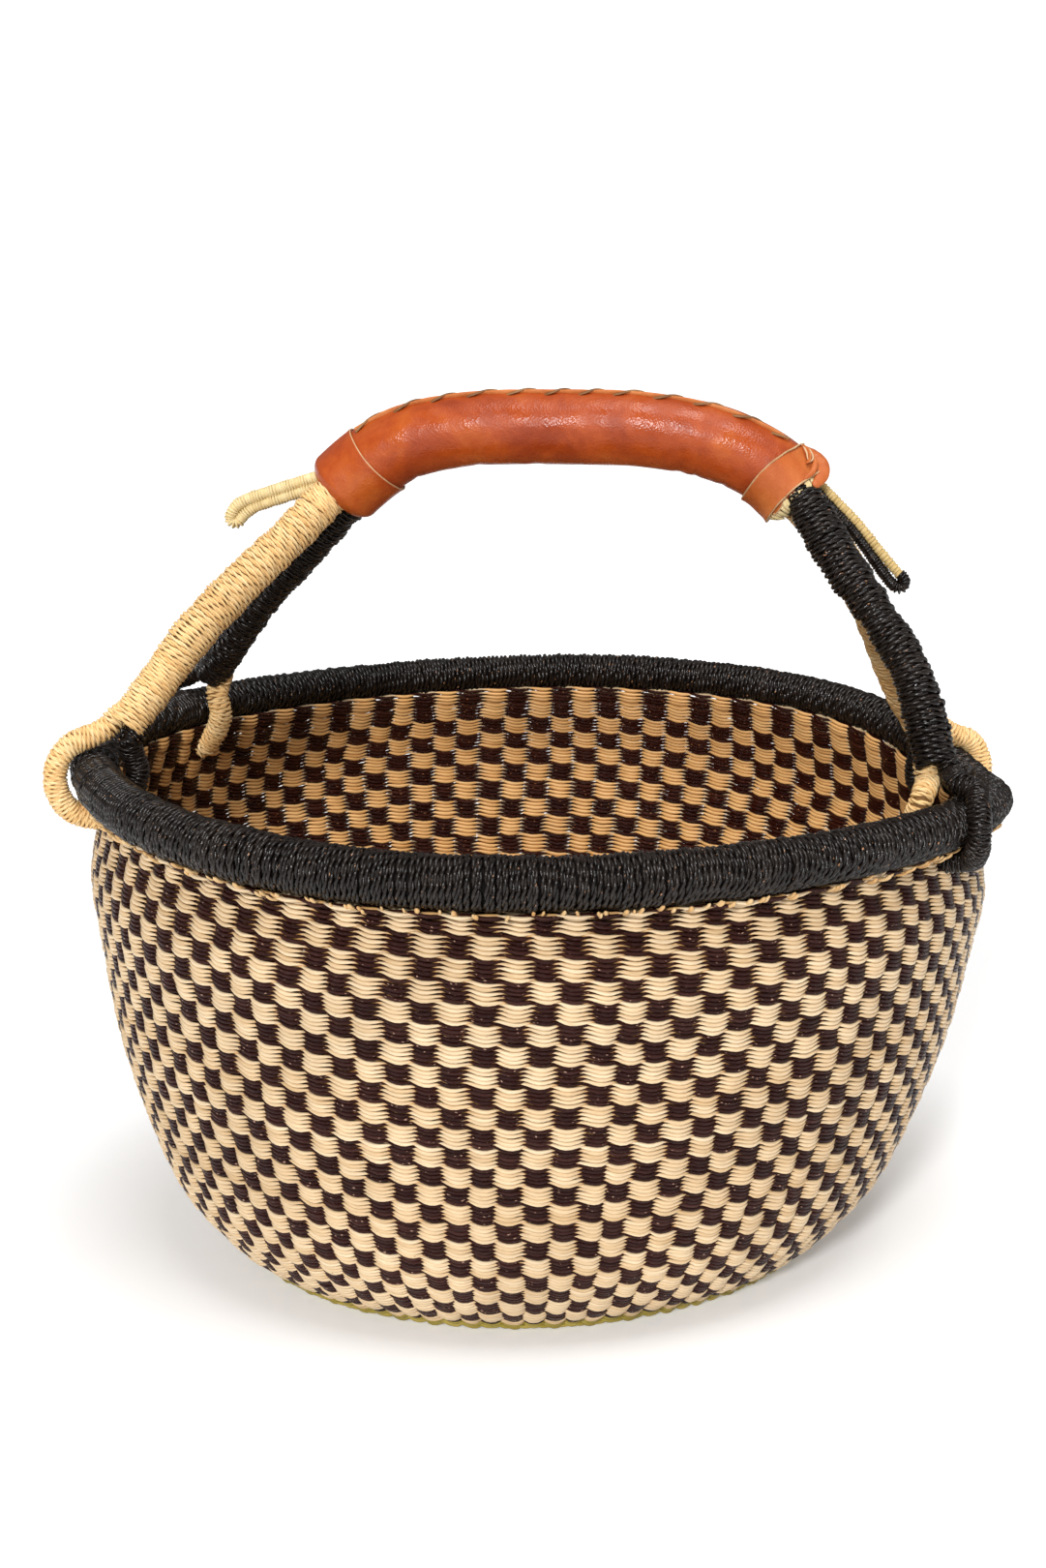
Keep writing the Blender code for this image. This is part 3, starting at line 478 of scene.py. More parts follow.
# Rows below the rim: distance out from and up from its centre line
TOP_ROWS = ((-8.6, -7.6), (-8.4, -9.0), (-7.9, -10.2), (-6.9, -11.4), (-5.2, -12.6),
            (-3.4, -13.6), (-1.2, -13.3), (1.2, -12.4))
TOP_ROW_PITCH = 1.6
TOP_ROW_RISE = 0.6
# Rows farther in than the first of these, and farther down than the second, don't follow the
# rim's changing thickness, and those up to the third above them do so in part
TOP_ROWS_INNER = -5.0
TOP_ROWS_FREE = 11.2
TOP_ROWS_FADE = 3.6
# Rows farther out than this are tucked in behind the others away from the front
TUCK_FROM = -2.0
TUCK_PLACE = (-4.2, -12.0)
TUCK_COSINES = (0.55, 0.8)


def stake_angle(t, arc):
    """Angle of a place t stakes round, at an arc length up the wall."""
    height = np.clip(arc / ARC_TOP, 0.0, 1.0)
    level = height * (STAKE_LEVELS - 1.001)
    low = np.floor(level).astype(int)
    whole = np.floor(t).astype(int)
    bit = t - whole
    bit = bit * bit * (3.0 - 2.0 * bit)
    low, part, whole, bit = np.broadcast_arrays(low, level - low, whole, bit)

    def shift(stake):
        rows = STAKE_SHIFTS[stake % STAKES, low], STAKE_SHIFTS[stake % STAKES, low + 1]
        return rows[0] * (1.0 - part) + rows[1] * part

    t = t + shift(whole) * (1.0 - bit) + shift(whole + 1) * bit
    angle = STAKE_PHASE + t / STAKES * FULL
    return angle + FAN_SHARE * (1.0 - height) ** FAN_POWER * np.sin(angle - FAN_ANGLE)


def top_row_place(rows, angle):
    """How far out and up from the rim's centre line the rows below it run at each angle."""
    out, up = rows[:, :1], rows[:, 1:]
    near = np.clip((up + TOP_ROWS_FREE) / TOP_ROWS_FADE, 0.0, 1.0)
    near = np.where(out > TOP_ROWS_INNER, 1.0, near)
    big = 1.0 + (swell(angle) / (1.0 + RIM_SWELL_SHARE) - 1.0) * near
    low, high = TUCK_COSINES
    back = np.clip((high - np.cos(angle - RIM_SWELL_ANGLE)) / (high - low), 0.0, 1.0)
    back = back * (out > TUCK_FROM)
    return (out + (TUCK_PLACE[0] - out) * back) * big, (up + (TUCK_PLACE[1] - up) * back) * big


def weft_paths(arcs, pitch, odd, top_rows=None):
    """Straw and dark strands of weft rows: sweep's (centre, normal, flat, wide), and 1 where
    inside. top_rows places them from the rim's centre line instead of on the wall."""
    arc0, pitch = arcs[:, None], pitch[:, None]
    t = (np.arange(STAKES)[:, None] + WEFT_SAMPLES).reshape(-1) + 0.0 * arc0
    sway, lift = np.cos(math.pi * t), np.sin(math.pi * t)
    angle = stake_angle(t, arc0)
    fade = np.clip((ARC_TOP - arc0) / DRIFT_FADE_TOP, 0.0, 1.0)
    fade = fade * np.clip(arc0 / DRIFT_FADE_FOOT, 0.0, 1.0)
    drift = fade * sum(size * around(seed, angle, waves, arc0 / change)
                       for size, seed, waves, change in WEFT_DRIFTS)
    ragged = TIP_JITTER * wobble(51, t * 5.1, arc0 * 7.7)
    ragged = ragged + CELL_JITTER * wobble(52, t * 0.8, arc0 * 0.45)
    crossing = np.cos(math.pi * (t + ragged))
    results = []
    for sign, proud, flat, least, most, power in WEFT_STRANDS:
        phase = sign * np.where(odd[:, None], -1.0, 1.0)
        swing = phase * crossing
        swing = swing * (1.25 - 0.25 * swing * swing)
        depth = WALL_MIDDLE - WEFT_SWING * swing - proud
        depth = depth + 0.14 * wobble(11 + sign, t * 1.3, arc0 * 2.1)
        up = -WEFT_DROOP * sway * sway - WEFT_SLANT * phase * lift
        up = up + 0.15 * wobble(21 + sign, t * 1.4, arc0 * 2.7)
        if top_rows is None:
            centre, outer = (wall_place(arc0 + drift + up, angle, depth - more)
                             for more in (0.0, 1.0))
        else:
            row_out, row_up = top_row_place(top_rows, angle)
            centre, outer = (rim_place(angle, row_out + WALL_MIDDLE - depth + more,
                                       row_up + TOP_ROW_RISE * up) for more in (0.0, 1.0))
        rows = wobble(31 + sign, t * 0.45, arc0 * 3.3)
        half = pitch * (least + (most - least) * np.abs(crossing) ** power)
        # 1 on the weave's inner face, where the materials paint shade
        inside = np.clip((depth - WALL_MIDDLE) / 0.5 + 0.5, 0.0, 1.0)
        results.append(((centre, outer - centre, flat * (1.0 + 0.06 * rows),
                         half * (1.0 + 0.09 * rows)), inside))
    return results


def make_weft(name, pair, seeds, replaces=()):
    """The straw and the dark piece of some weft rows."""
    for tone, look, (paths, inside), seed, nodes in zip(
            ("straw", "dark"), (STRAW_LOOK, DARK_LOOK), pair, seeds, (replaces, ())):
        make_strands(name.format(tone), [sweep(*paths, WEFT_SIDES, True, seed)], look, nodes,
                     np.repeat(inside.reshape(-1), WEFT_SIDES))


def make_wall():
    """The wall's rows and the ones up to the rim. Returns the dyed rows for the base."""
    edges = [ARC_TOP]
    while edges[-1] > CHECKS_END:
        low = 1.0 - edges[-1] / ARC_TOP
        more = (CHECK_FOOT_HEIGHT - CHECK_TOP_HEIGHT) * low ** 2
        edges.append(edges[-1] - (CHECK_TOP_HEIGHT + more))
    pitches = np.repeat(-np.diff(edges) / CHECK_ROWS, CHECK_ROWS)
    arcs = np.repeat(edges[:-1], CHECK_ROWS)
    arcs = arcs - pitches * (np.arange(len(arcs)) % CHECK_ROWS + 0.5)
    odds = np.arange(len(arcs)) // CHECK_ROWS % 2 == 0
    rows = np.flatnonzero(arcs >= DYED_END)
    size = math.ceil(len(rows) / WALL_BANDS)
    for band in range(WALL_BANDS):
        chosen = rows[band * size:(band + 1) * size]
        make_weft("wall_{}_weft_" + str(band + 1),
                  weft_paths(arcs[chosen], pitches[chosen], odds[chosen]),
                  (100 + band, 200 + band), () if band else ("wall_weave",))
    count = len(TOP_ROWS)
    make_weft("top_{}_weft", weft_paths(np.full(count, ARC_TOP), np.full(count, TOP_ROW_PITCH),
                                        np.full(count, True), np.array(TOP_ROWS)), (150, 150))
    chosen = np.flatnonzero((arcs > ROWS_START) & (arcs < DYED_END))
    pair = weft_paths(arcs[chosen], pitches[chosen], odds[chosen])
    return [sweep(*paths, WEFT_SIDES, True, 300 + i) for i, (paths, _) in enumerate(pair)]


def make_stakes():
    """Upright stakes inside the weave, from the base to the rim."""
    stakes, arcs = np.meshgrid(np.arange(STAKES) + 0.0,
                               np.linspace(1.0, ARC_TOP - 1.0, STAKE_POINTS), indexing="ij")
    angle = stake_angle(stakes, arcs)
    centre, outer = (wall_place(arcs, angle, WALL_MIDDLE - more) for more in (0.0, 1.0))
    normal = outer - centre
    end = angle[:, -1:]
    top = rim_place(end, wall_radius(WALL_TOP) - WALL_MIDDLE - RIM_RADIUS,
                    2.5 - RIM_TUBE_RADIUS * swell(end))
    ways = np.array((0.0, 0.35, 0.7, 1.0))[:, None]
    make_strands("stake_tops", [sweep(centre[:, -1:] * (1.0 - ways) + top * ways,
                                      np.repeat(normal[:, -1:], len(ways), 1), *STAKE_SIZE,
                                      6, False, 41, pinch=False)],
                 (STAKE, "stake_grass"), ("stake_ring",))
    # The stakes inside the weave take the dark copy of their grass: painted shade in the gaps
    make_strands("stakes", [sweep(centre, normal, *STAKE_SIZE, 6, False, 42)],
                 (SHADED_CORE, "stake_grass"))


def make_stake_ends():
    """Cut stake ends that show between the rim's winding and the top row, outside."""
    rng = np.random.default_rng(43)
    edge = wall_radius(WALL_TOP) - RIM_RADIUS
    ways, outs, ups = np.array(((0.0, -6.5, -3.4), (0.5, -2.3, -2.1), (1.0, 0.2, 0.0))).T
    parts = []
    for k in range(STAKES):
        for _ in range(2 + int(rng.uniform() < 0.35)):
            angle = stake_angle(k + rng.uniform(-0.45, 0.45), ARC_TOP)
            tube = RIM_TUBE_RADIUS * swell(angle)
            drop = math.sqrt(max(tube * tube - edge * edge, 1.0))
            out = edge + rng.uniform(8.9, 10.6) + outs
            up = -drop + rng.uniform(-0.5, 1.7) + ups
            turn = angle + rng.uniform(-1.6, 1.6) / RIM_RADIUS * ways
            centre = smooth(rim_place(turn, out, up), 3)
            outer = smooth(rim_place(turn, out + 1.0, up - 0.3), 3)
            size = rng.uniform(0.45, 0.85)
            parts.append(strip(centre, outer, size, size * rng.uniform(0.9, 1.5), 6,
                               int(rng.integers(1 << 30))))
    make_strands("stake_ends", parts, (STAKE, "stake_grass"))


# Windings

PLY_OFFSET = 0.4
PLY_SIDES = 5
PLY_TINT = 0.12


def arc_lengths(path):
    return np.append(0.0, np.cumsum(np.linalg.norm(np.diff(path, axis=0), axis=1)))


def between(places, lengths, values):
    """Vectors at some arc lengths, from the ones at known lengths."""
    return np.stack([np.interp(places, lengths, column) for column in values.T], -1)


def resample(path, count):
    lengths = arc_lengths(path)
    return between(np.linspace(0.0, lengths[-1], count), lengths, path)


def frames(path):
    """Turning-free normals along a path, and the directions square to them."""
    along = unit(np.gradient(path, axis=0))
    normal = np.array((1.0, 0.0, 0.0) if abs(along[0, 2]) > 0.95 else (0.0, 0.0, 1.0))
    normals = []
    for direction in along:
        normal = unit(normal - direction * (normal @ direction))
        normals.append(normal)
    return np.array(normals), np.cross(along, np.array(normals))


def winding(path, radius, pitch, seed, period, loose, lean=0.0, step=1.25, fill=1.2, pair=0.0):
    """A two-ply cord wound round a path. radius is to its outside, one value or several along
    the path. fill is its width in pitches. pair draws every second turn to its neighbour by
    a share of the pitch."""
    fine = resample(path, max(60, int(arc_lengths(path)[-1] / 0.8)))
    lengths = arc_lengths(fine)
    turns = lengths[-1] / pitch
    per_turn = max(14, int(FULL * np.mean(radius) / step))
    turn = np.linspace(0.0, turns, int(turns * per_turn) + 1)
    knots = np.arange(int(turns) + 3)
    rng = np.random.default_rng(seed)

    def vary(values):
        return np.interp(turn, knots, values)

    angle = FULL * turn
    place = turn * pitch + vary(rng.normal(0.0, 0.35, len(knots)) * loose * pitch * 2.0)
    place = place + vary(np.where(knots % 2, -0.5, 0.5)) * pair * pitch
    place = np.clip(place + lean * np.cos(angle + 0.7), 0.0, lengths[-1])
    centre, n, b = (between(place, lengths, values) for values in (fine, *frames(fine)))
    radius = np.atleast_1d(radius)
    size = np.interp(place / lengths[-1], np.linspace(0.0, 1.0, len(radius)), radius)
    size = size * (1.0 + vary(rng.normal(0.0, 1.0, len(knots)) * loose))
    out = n * np.cos(angle)[:, None] + b * np.sin(angle)[:, None]
    half = pitch * fill / 2.0
    helix = centre + out * (size - half)[:, None]
    tint = vary(rng.uniform(0.0, 1.0, len(knots)))
    half = half * (1.0 + vary(rng.normal(0.0, 0.05, len(knots))))
    return plies(helix[None], out[None], half[None], period, seed + 1, tint[None])


def plies(centre, out, size, period, seed, tint):
    """Two twisted plies along cords (paths, points, 3); size is a cord's half width."""
    along = unit(np.gradient(centre, axis=1))
    out = unit(out - along * (out * along).sum(-1, keepdims=True))
    side = np.cross(along, out)
    step = np.linalg.norm(np.diff(centre, axis=1), axis=-1)
    length = np.concatenate([np.zeros((len(centre), 1)), np.cumsum(step, 1)], 1)
    twist = FULL * length / period + np.random.default_rng(seed).uniform(0.0, FULL)
    offset = np.broadcast_to(size, length.shape) * PLY_OFFSET
    parts = []
    for k in range(2):
        turn = (twist + k * math.pi)[..., None]
        normal = np.cos(turn) * out + np.sin(turn) * side
        parts.append(sweep(centre + normal * offset[..., None], normal, size - offset,
                           size - offset, PLY_SIDES, False, seed + 7 * k,
                           np.clip(tint + PLY_TINT * (k - 0.5), 0.0, 1.0)))
    return parts


def core_tube(path, radius, seed):
    """A plain bundle inside a winding, so that no light comes through."""
    fine = resample(path, max(12, int(arc_lengths(path)[-1] / 3.0)))
    return sweep(fine[None], frames(fine)[0][None], radius, radius, 10, False, seed)


RIM_CORD_PITCH = 2.3
RIM_CORD_HALF = RIM_CORD_PITCH * 1.32 / 2.0
RIM_CORD_POINTS = 48
RIM_LOOK_RADIUS = RIM_TUBE_RADIUS * 0.95
RIM_BUNDLE_DEPTH = 2.3
RIM_TWIST = 13.0
RIM_PIECES = 4


def make_rim():
    """The rim's winding in four pieces, and the dark bundle inside it."""
    turns = round(FULL * RIM_RADIUS / RIM_CORD_PITCH)
    turns = turns - turns % RIM_PIECES
    rng = np.random.default_rng(61)
    knots = np.arange(turns + 1)
    grow = rng.normal(0.0, 0.022, turns + 1)
    slip = rng.normal(0.0, 0.12, turns + 1)
    tone = rng.uniform(0.0, 1.0, turns + 1)
    for values in (grow, slip, tone):
        values[-1] = values[0]
    lean = 1.1 + 0.8 * around(63, knots / turns * FULL, (3, 7, 11))
    lumps = 0.30 * around(64, knots / turns * FULL, (5, 9, 14, 23))
    for piece in range(RIM_PIECES):
        turn = np.arange(turns // RIM_PIECES * RIM_CORD_POINTS + 1) / RIM_CORD_POINTS
        turn = turn + piece * turns // RIM_PIECES
        section = -FULL * turn
        angle = FULL * (turn + np.interp(turn, knots, slip)) / turns
        angle = angle + np.interp(turn, knots, lean) * np.cos(section - 0.4) / RIM_RADIUS
        size = RIM_LOOK_RADIUS * swell(angle) * (1.0 + np.interp(turn, knots, grow))
        reach = size + np.interp(turn, knots, lumps) - RIM_CORD_HALF
        centre, outer = (rim_place(angle, (reach + more) * np.cos(section),
                                   (reach + more) * np.sin(section)) for more in (0.0, 1.0))
        parts = plies(centre[None], (outer - centre)[None], RIM_CORD_HALF, RIM_TWIST,
                      65 + piece, np.interp(turn, knots, tone)[None])
        make_strands("rim_winding_" + str(piece + 1), parts, BLACK_LOOK,
                     () if piece else ("rim_wrap",))
    angle = np.linspace(0.0, FULL, 240, endpoint=False)[None]
    centre, outer = (rim_place(angle, more, 0.0) for more in (0.0, 1.0))
    size = RIM_LOOK_RADIUS * swell(angle) - RIM_BUNDLE_DEPTH
    # The bundle's near-black colour is painted shade in the winding's gaps
    make_strands("rim_bundle", [sweep(centre, outer - centre, size, size, 16, True, 66)],
                 (RIM_BUNDLE_SHADE, "stake_grass"), ("rim_core",))


# Handle, as in the CAD model

FEET = {"front_left": 199.5 * DEG, "front_right": 344.0 * DEG, "rear_left": 156.0 * DEG,
        "rear_right": 26.5 * DEG}
FRONT_RIGHT_SLANT_SHARE = -1.6
HANDLE_TOP = 352.7
HANDLE_TOP_OFFSET = 6.0
LEG_RADIUS = 8.0
LEG_FOOT_REACH = 24.0
LEG_FOOT_ANGLE = 123.0 * DEG
LEG_INTO_GRIP = 5.0
# Shares of the way across from the handle's top to a foot, and of the height there
LEFT_WAYS = (0.00, 0.10, 0.20, 0.33, 0.42, 0.51, 0.59, 0.69, 0.79, 0.86)
RIGHT_WAYS = (0.00, 0.10, 0.21, 0.35, 0.45, 0.54, 0.61, 0.69, 0.79, 0.87)
LEFT_HEIGHTS = (1.000, 0.999, 0.992, 0.957, 0.890, 0.790, 0.672, 0.540, 0.400, 0.275)
ARCH_SHARES = {
    "front_left": (LEFT_WAYS, LEFT_HEIGHTS),
    "rear_left": (LEFT_WAYS, LEFT_HEIGHTS),
    "front_right": (RIGHT_WAYS, (1.000, 0.999, 0.995, 0.972, 0.937, 0.879, 0.785, 0.645, 0.500,
                                 0.356)),
    "rear_right": (RIGHT_WAYS, (1.000, 0.999, 0.995, 0.974, 0.941, 0.893, 0.829, 0.729, 0.501,
                                0.275)),
}
EYE_RADIUS = 5.1
EYE_GAP = 0.8
EYE_LEAD = 4.0
EYE_STUB = 2.2
EYE_INTO_WALL = -1.5
# How much closer the rear right outer loop lies on the rim than the CAD's gap allows
REAR_RIGHT_HUG = 2.0
OUTER_EYE_ANGLES = (85.0, 60.0, 35.0, 10.0, -15.0, -40.0, -65.0)
INNER_EYE_ANGLES = (152.0, 176.0, 200.0, 216.0)
INNER_REACH_SHARE = 1.05
OUTER_BEND_SHARES = (0.03, 1.0)
INNER_BEND_SHARES = (-0.64, 0.853)
GRIP_LEFT_REACH = 85.0
GRIP_RIGHT_REACH = 107.0
GRIP_RADIUS = 15.6
ARCH_SIDE = 7.8
FRONT_ARCH_UP = 3.0
REAR_ARCH_DOWN = 6.0
ARCH_SPREAD_DELAY = 4.0
FIT_GAP = 0.3


def half_arch(name, side, rise):
    """Points of a cord from the handle's top to a foot on the rim."""
    foot = rim_place(FEET[name], 0.0, 0.0)
    ways, heights = np.array(ARCH_SHARES[name])
    x = HANDLE_TOP_OFFSET + (foot[0] - HANDLE_TOP_OFFSET) * ways
    start = GRIP_LEFT_REACH if name.endswith("left") else GRIP_RIGHT_REACH
    start = start + ARCH_SPREAD_DELAY
    spread = np.maximum((np.abs(x) - start) / (abs(foot[0]) - start), 0.0)
    z = foot[2] + (HANDLE_TOP + rise - foot[2]) * heights
    return np.stack([x, side + (foot[1] - side) * spread, z], 1)


def through(left, right):
    return smooth(np.concatenate([left[::-1], right[1:]]), 8)


def arch(end, side, rise):
    """The path of the front or rear cord, from its left foot to its right one."""
    out, up = LEG_FOOT_REACH * math.cos(LEG_FOOT_ANGLE), LEG_FOOT_REACH * math.sin(LEG_FOOT_ANGLE)
    return through(*(np.vstack([half_arch(end + hand, side, rise),
                                rim_place(FEET[end + hand], out, up)])
                     for hand in ("left", "right")))


def grip_path():
    """The middle line of the grip."""
    line = through(*((half_arch("front_" + hand, 0.0, 0.0) + half_arch("rear_" + hand, 0.0, 0.0))
                     / 2.0 for hand in ("left", "right")))
    line[:, 1] = 0.0
    low, high = -GRIP_LEFT_REACH, GRIP_RIGHT_REACH
    inside = line[(line[:, 0] > low + 0.5) & (line[:, 0] < high - 0.5)]
    first, last = ((x, 0.0, np.interp(x, line[:, 0], line[:, 2])) for x in (low, high))
    return np.vstack([first, inside, last])


FRONT_ARCH = arch("front_", -ARCH_SIDE, FRONT_ARCH_UP)
REAR_ARCH = arch("rear_", ARCH_SIDE, -REAR_ARCH_DOWN)
GRIP_PATH = grip_path()


def grip_end(left):
    """The end of the grip's middle line, and the direction out of it."""
    end, inner = (GRIP_PATH[0], GRIP_PATH[1]) if left else (GRIP_PATH[-1], GRIP_PATH[-2])
    return end, unit(end - inner)


def eye_reach(angle):
    return RIM_TUBE_RADIUS * swell(angle) + EYE_RADIUS + EYE_GAP


def eye_meet(angle):
    return wall_radius(RIM_HEIGHT - eye_reach(angle)) - WALL_MIDDLE - RIM_RADIUS


def eye_angle(name, out):
    """The front right loops slant round the rim as they go out from it."""
    angle = FEET[name]
    if name != "front_right":
        return angle
    return angle + FRONT_RIGHT_SLANT_SHARE * max(out, EYE_STUB - eye_meet(angle)) / RIM_RADIUS


def eye_path(name, foot, above, outer):
    """A loop's path from the leg's foot round the rim and into the wall."""
    angle = FEET[name]
    down = unit(foot - above)
    outwards = np.array((math.cos(angle), math.sin(angle), 0.0))
    across = unit(outwards - down * (outwards @ down))
    side = 1.0 if outer else -1.0
    start = foot + down * FIT_GAP + across * (EYE_RADIUS + FIT_GAP / 2.0) * side
    reach, meet = eye_reach(angle), eye_meet(angle)
    points = [start - down * 7.0 - across * side * 2.2, start, start + down * EYE_LEAD]
    for turn in OUTER_EYE_ANGLES if outer else INNER_EYE_ANGLES:
        wide = reach if outer else reach * INNER_REACH_SHARE
        if outer and name == "rear_right" and turn > 0.0:
            wide = wide - REAR_RIGHT_HUG
        out = wide * math.cos(turn * DEG)
        points.append(rim_place(eye_angle(name, out), out, wide * math.sin(turn * DEG)))
    bend_out, bend_down = OUTER_BEND_SHARES if outer else INNER_BEND_SHARES
    out = reach * bend_out
    points.append(rim_place(eye_angle(name, out), out, -reach * bend_down))
    for stub in (EYE_STUB, EYE_INTO_WALL):
        out = meet + side * (FIT_GAP / 2.0 + stub)
        points.append(rim_place(eye_angle(name, 0.0), out, -reach))
    return smooth(points, 5)


LEG_PROUD = 1.0
LEG_LUMPS = 0.25
LEG_STEPS = 60
# Share of the way up where a leg's winding narrows into the grip, and how far it takes
LEG_NARROW = (0.95, 0.035)
FRONT_RIGHT_NARROW = 3.0
OTHER_NARROW = 2.2
REAR_RIGHT_SLIM = 1.1
REAR_RIGHT_SLIM_FROM = (0.3, 0.2)
FRONT_LEFT_DROP = 3.0
FRONT_LEFT_DROP_REACH = 38.0
LEG_CORE_DEPTH = 1.2
EYE_CORE_DEPTH = 1.1


def make_handle():
    """The windings of the legs and loops, and the cores inside them."""
    # Straw windings take the brighter copy of the straw: painted light
    looks = {"straw": (STRAW_WRAP_LIT, "natural_straw"), "black": BLACK_LOOK}
    cores = {"straw": [], "black": []}
    for name, line, tone, other, seed in (("front_left", FRONT_ARCH, "straw", "black", 500),
                                          ("front_right", FRONT_ARCH, "black", "straw", 510),
                                          ("rear_left", REAR_ARCH, "black", "straw", 520),
                                          ("rear_right", REAR_ARCH, "straw", "black", 530)):
        left = name.endswith("left")
        line = line if left else line[::-1]
        end, outwards = grip_end(left)
        path = line[:int(np.argmax((line - end) @ outwards < -LEG_INTO_GRIP)) + 1]
        ways = np.linspace(0.0, 1.0, LEG_STEPS)
        start, length = LEG_NARROW
        narrow = FRONT_RIGHT_NARROW if name == "front_right" else OTHER_NARROW
        radius = LEG_RADIUS + LEG_PROUD + LEG_LUMPS * np.sin(9.0 * ways + seed)
        radius = radius - narrow * np.clip((ways - start) / length, 0.0, 1.0)
        if name == "rear_right":
            start, length = REAR_RIGHT_SLIM_FROM
            radius = radius - REAR_RIGHT_SLIM * np.clip((ways - start) / length, 0.0, 1.0)
        if name == "front_left":
            near = np.linalg.norm(path - path[-1], axis=1) / FRONT_LEFT_DROP_REACH
            path = path - np.exp(-near ** 2)[:, None] * np.array((0.0, 0.0, FRONT_LEFT_DROP))
        if tone == "straw":
            parts = winding(path, radius, 1.8, seed, 13.1, 0.03, fill=1.22, pair=0.05)
        else:
            parts = winding(path, radius, 2.5, seed, 12.0, 0.05, lean=1.2, fill=1.32)
        make_strands(name + "_leg_winding", parts, looks[tone], (name + "_leg_wrap",))
        cores[tone].append(core_tube(path, LEG_RADIUS - LEG_CORE_DEPTH, seed + 1))
        for outer, eye_tone, label in ((True, tone, "_outer_eye"), (False, other, "_inner_eye")):
            eye = eye_path(name, line[0], line[1], outer)
            make_strands(name + label + "_winding",
                         winding(eye, EYE_RADIUS + 0.3, 1.6, seed + (2 if outer else 3), 11.0,
                                 0.02, fill=1.5), looks[eye_tone], (name + label,))
            cores[eye_tone].append(core_tube(eye, EYE_RADIUS - EYE_CORE_DEPTH, seed + 4))
    # The straw cores take the dark copy of the stake grass: painted shade in the windings' slits
    make_strands("straw_cord_cores", cores["straw"], (SHADED_CORE, "natural_straw"),
                 ("front_arch_core",))
    make_strands("black_cord_cores", cores["black"], BLACK_LOOK, ("rear_arch_core",))


# Leather grip

GRIP_TOTAL = arc_lengths(GRIP_PATH)[-1]
PADDING_RADIUS = 13.7
LEFT_COLLAR_LENGTH = 23.0
RIGHT_COLLAR_LENGTH = 15.0
COLLAR_RADIUS = 17.0
EDGE_WIDE = 0.42
SEAM_ANGLE = 14.0 * DEG
SEAM_PITCH = 15.0
LACE_OVER = 0.62
LACE_SWAY = 7.5 * DEG
# Creases under the grip: arc length, width and depth
GRIP_CREASES = ((GRIP_TOTAL - 52.0, 2.6, 0.55), (GRIP_TOTAL - 44.0, 1.8, 0.45), (34.0, 2.4, 0.4),
                (66.0, 2.8, 0.35), (92.0, 3.0, 0.3), (GRIP_TOTAL - 30.0, 1.7, 0.4))


def grip_axes():
    """Arc lengths, centres and upward normals along the grip and a little past its ends."""
    line = resample(GRIP_PATH, 400)
    line = np.vstack([line[0] + (line[0] - line[1]) * 40.0, line,
                      line[-1] + (line[-1] - line[-2]) * 40.0])
    lengths = arc_lengths(line)
    along = unit(np.gradient(line, axis=0))
    up = unit(np.stack([-along[:, 2], 0.0 * along[:, 0], along[:, 0]], 1))
    return lengths - lengths[1], line, up


GRIP_AXES = grip_axes()


def grip_place(s, angle, radius):
    """A place of the grip; angle is 0 on top and grows towards the viewer."""
    lengths, line, up = GRIP_AXES
    centre, normal = between(s, lengths, line), unit(between(s, lengths, up))
    front = np.array((0.0, -1.0, 0.0))
    out = normal * np.cos(angle)[..., None] + front * np.sin(angle)[..., None]
    return centre + out * radius[..., None]


def grip_strip(s, angle, radius, flat, wide, sides, seed, turned=0.0, rise=1.0):
    """A strand on the grip. Its normal points out, or to a place turned and raised from it."""
    return strip(grip_place(s, angle, radius), grip_place(s, angle + turned, radius + rise),
                 flat, wide, sides, seed)


def grip_lumps(s, angle):
    """How far the leather stands off its plain round."""
    x, y = np.sin(angle), np.cos(angle)
    lumps = 0.42 * wobble(71, s / 26.0, x * 1.1, y * 1.1)
    lumps = lumps + 0.18 * wobble(72, s / 8.0, x * 3.0, y * 3.0)
    under = np.clip(-y, 0.0, 1.0) ** 0.7
    for place, width, deep in GRIP_CREASES:
        lumps = lumps - deep * under * np.exp(-((s - place - 2.0 * x) / width) ** 2)
    return lumps


def shell(name, start, stop, low, high, look, nodes=(), rows=40, columns=160, shape=None):
    """A closed band round the grip between two edges, each a function of the angle, and two
    radii. shape adds to the outer one."""
    angle = np.linspace(0.0, FULL, columns, endpoint=False)
    s = start(angle) + (stop(angle) - start(angle)) * np.linspace(0.0, 1.0, rows)[:, None]
    angle = angle + 0.0 * s
    lumps = grip_lumps(s, angle)
    outer = high + lumps + (shape(s, angle) if shape else 0.0)
    inner = np.minimum(low + lumps * 0.5, outer - 0.5)
    s, angle, radius = (np.concatenate([over, under[::-1], over[:1]])
                        for over, under in ((s, s), (angle, angle), (outer, inner)))
    index = np.arange(s.size).reshape(s.shape)
    right = np.roll(index, -1, 1)
    quads = np.stack([index[:-1], index[1:], right[1:], right[:-1]], -1).reshape(-1, 4)
    make_mesh(name, grip_place(s, angle, radius).reshape(-1, 3), quads, look, nodes)


def cut_edge(name, line, radius, thick, look):
    """The pale cut edge of a leather band, as a fine line round the grip."""
    angle = np.linspace(-0.6, FULL - 0.6, 200)
    s = line(angle)
    make_strands(name, [grip_strip(s, angle, radius + grip_lumps(s, angle), thick, EDGE_WIDE, 6,
                                   81)], look)


def level_line(place):
    """A band's edge that runs square round the grip."""
    return lambda angle: place + 0.0 * angle


def left_edge_line(angle):
    return LEFT_COLLAR_LENGTH - 1.8 - 1.8 * np.cos(angle) + 0.25 * np.sin(3.0 * angle)


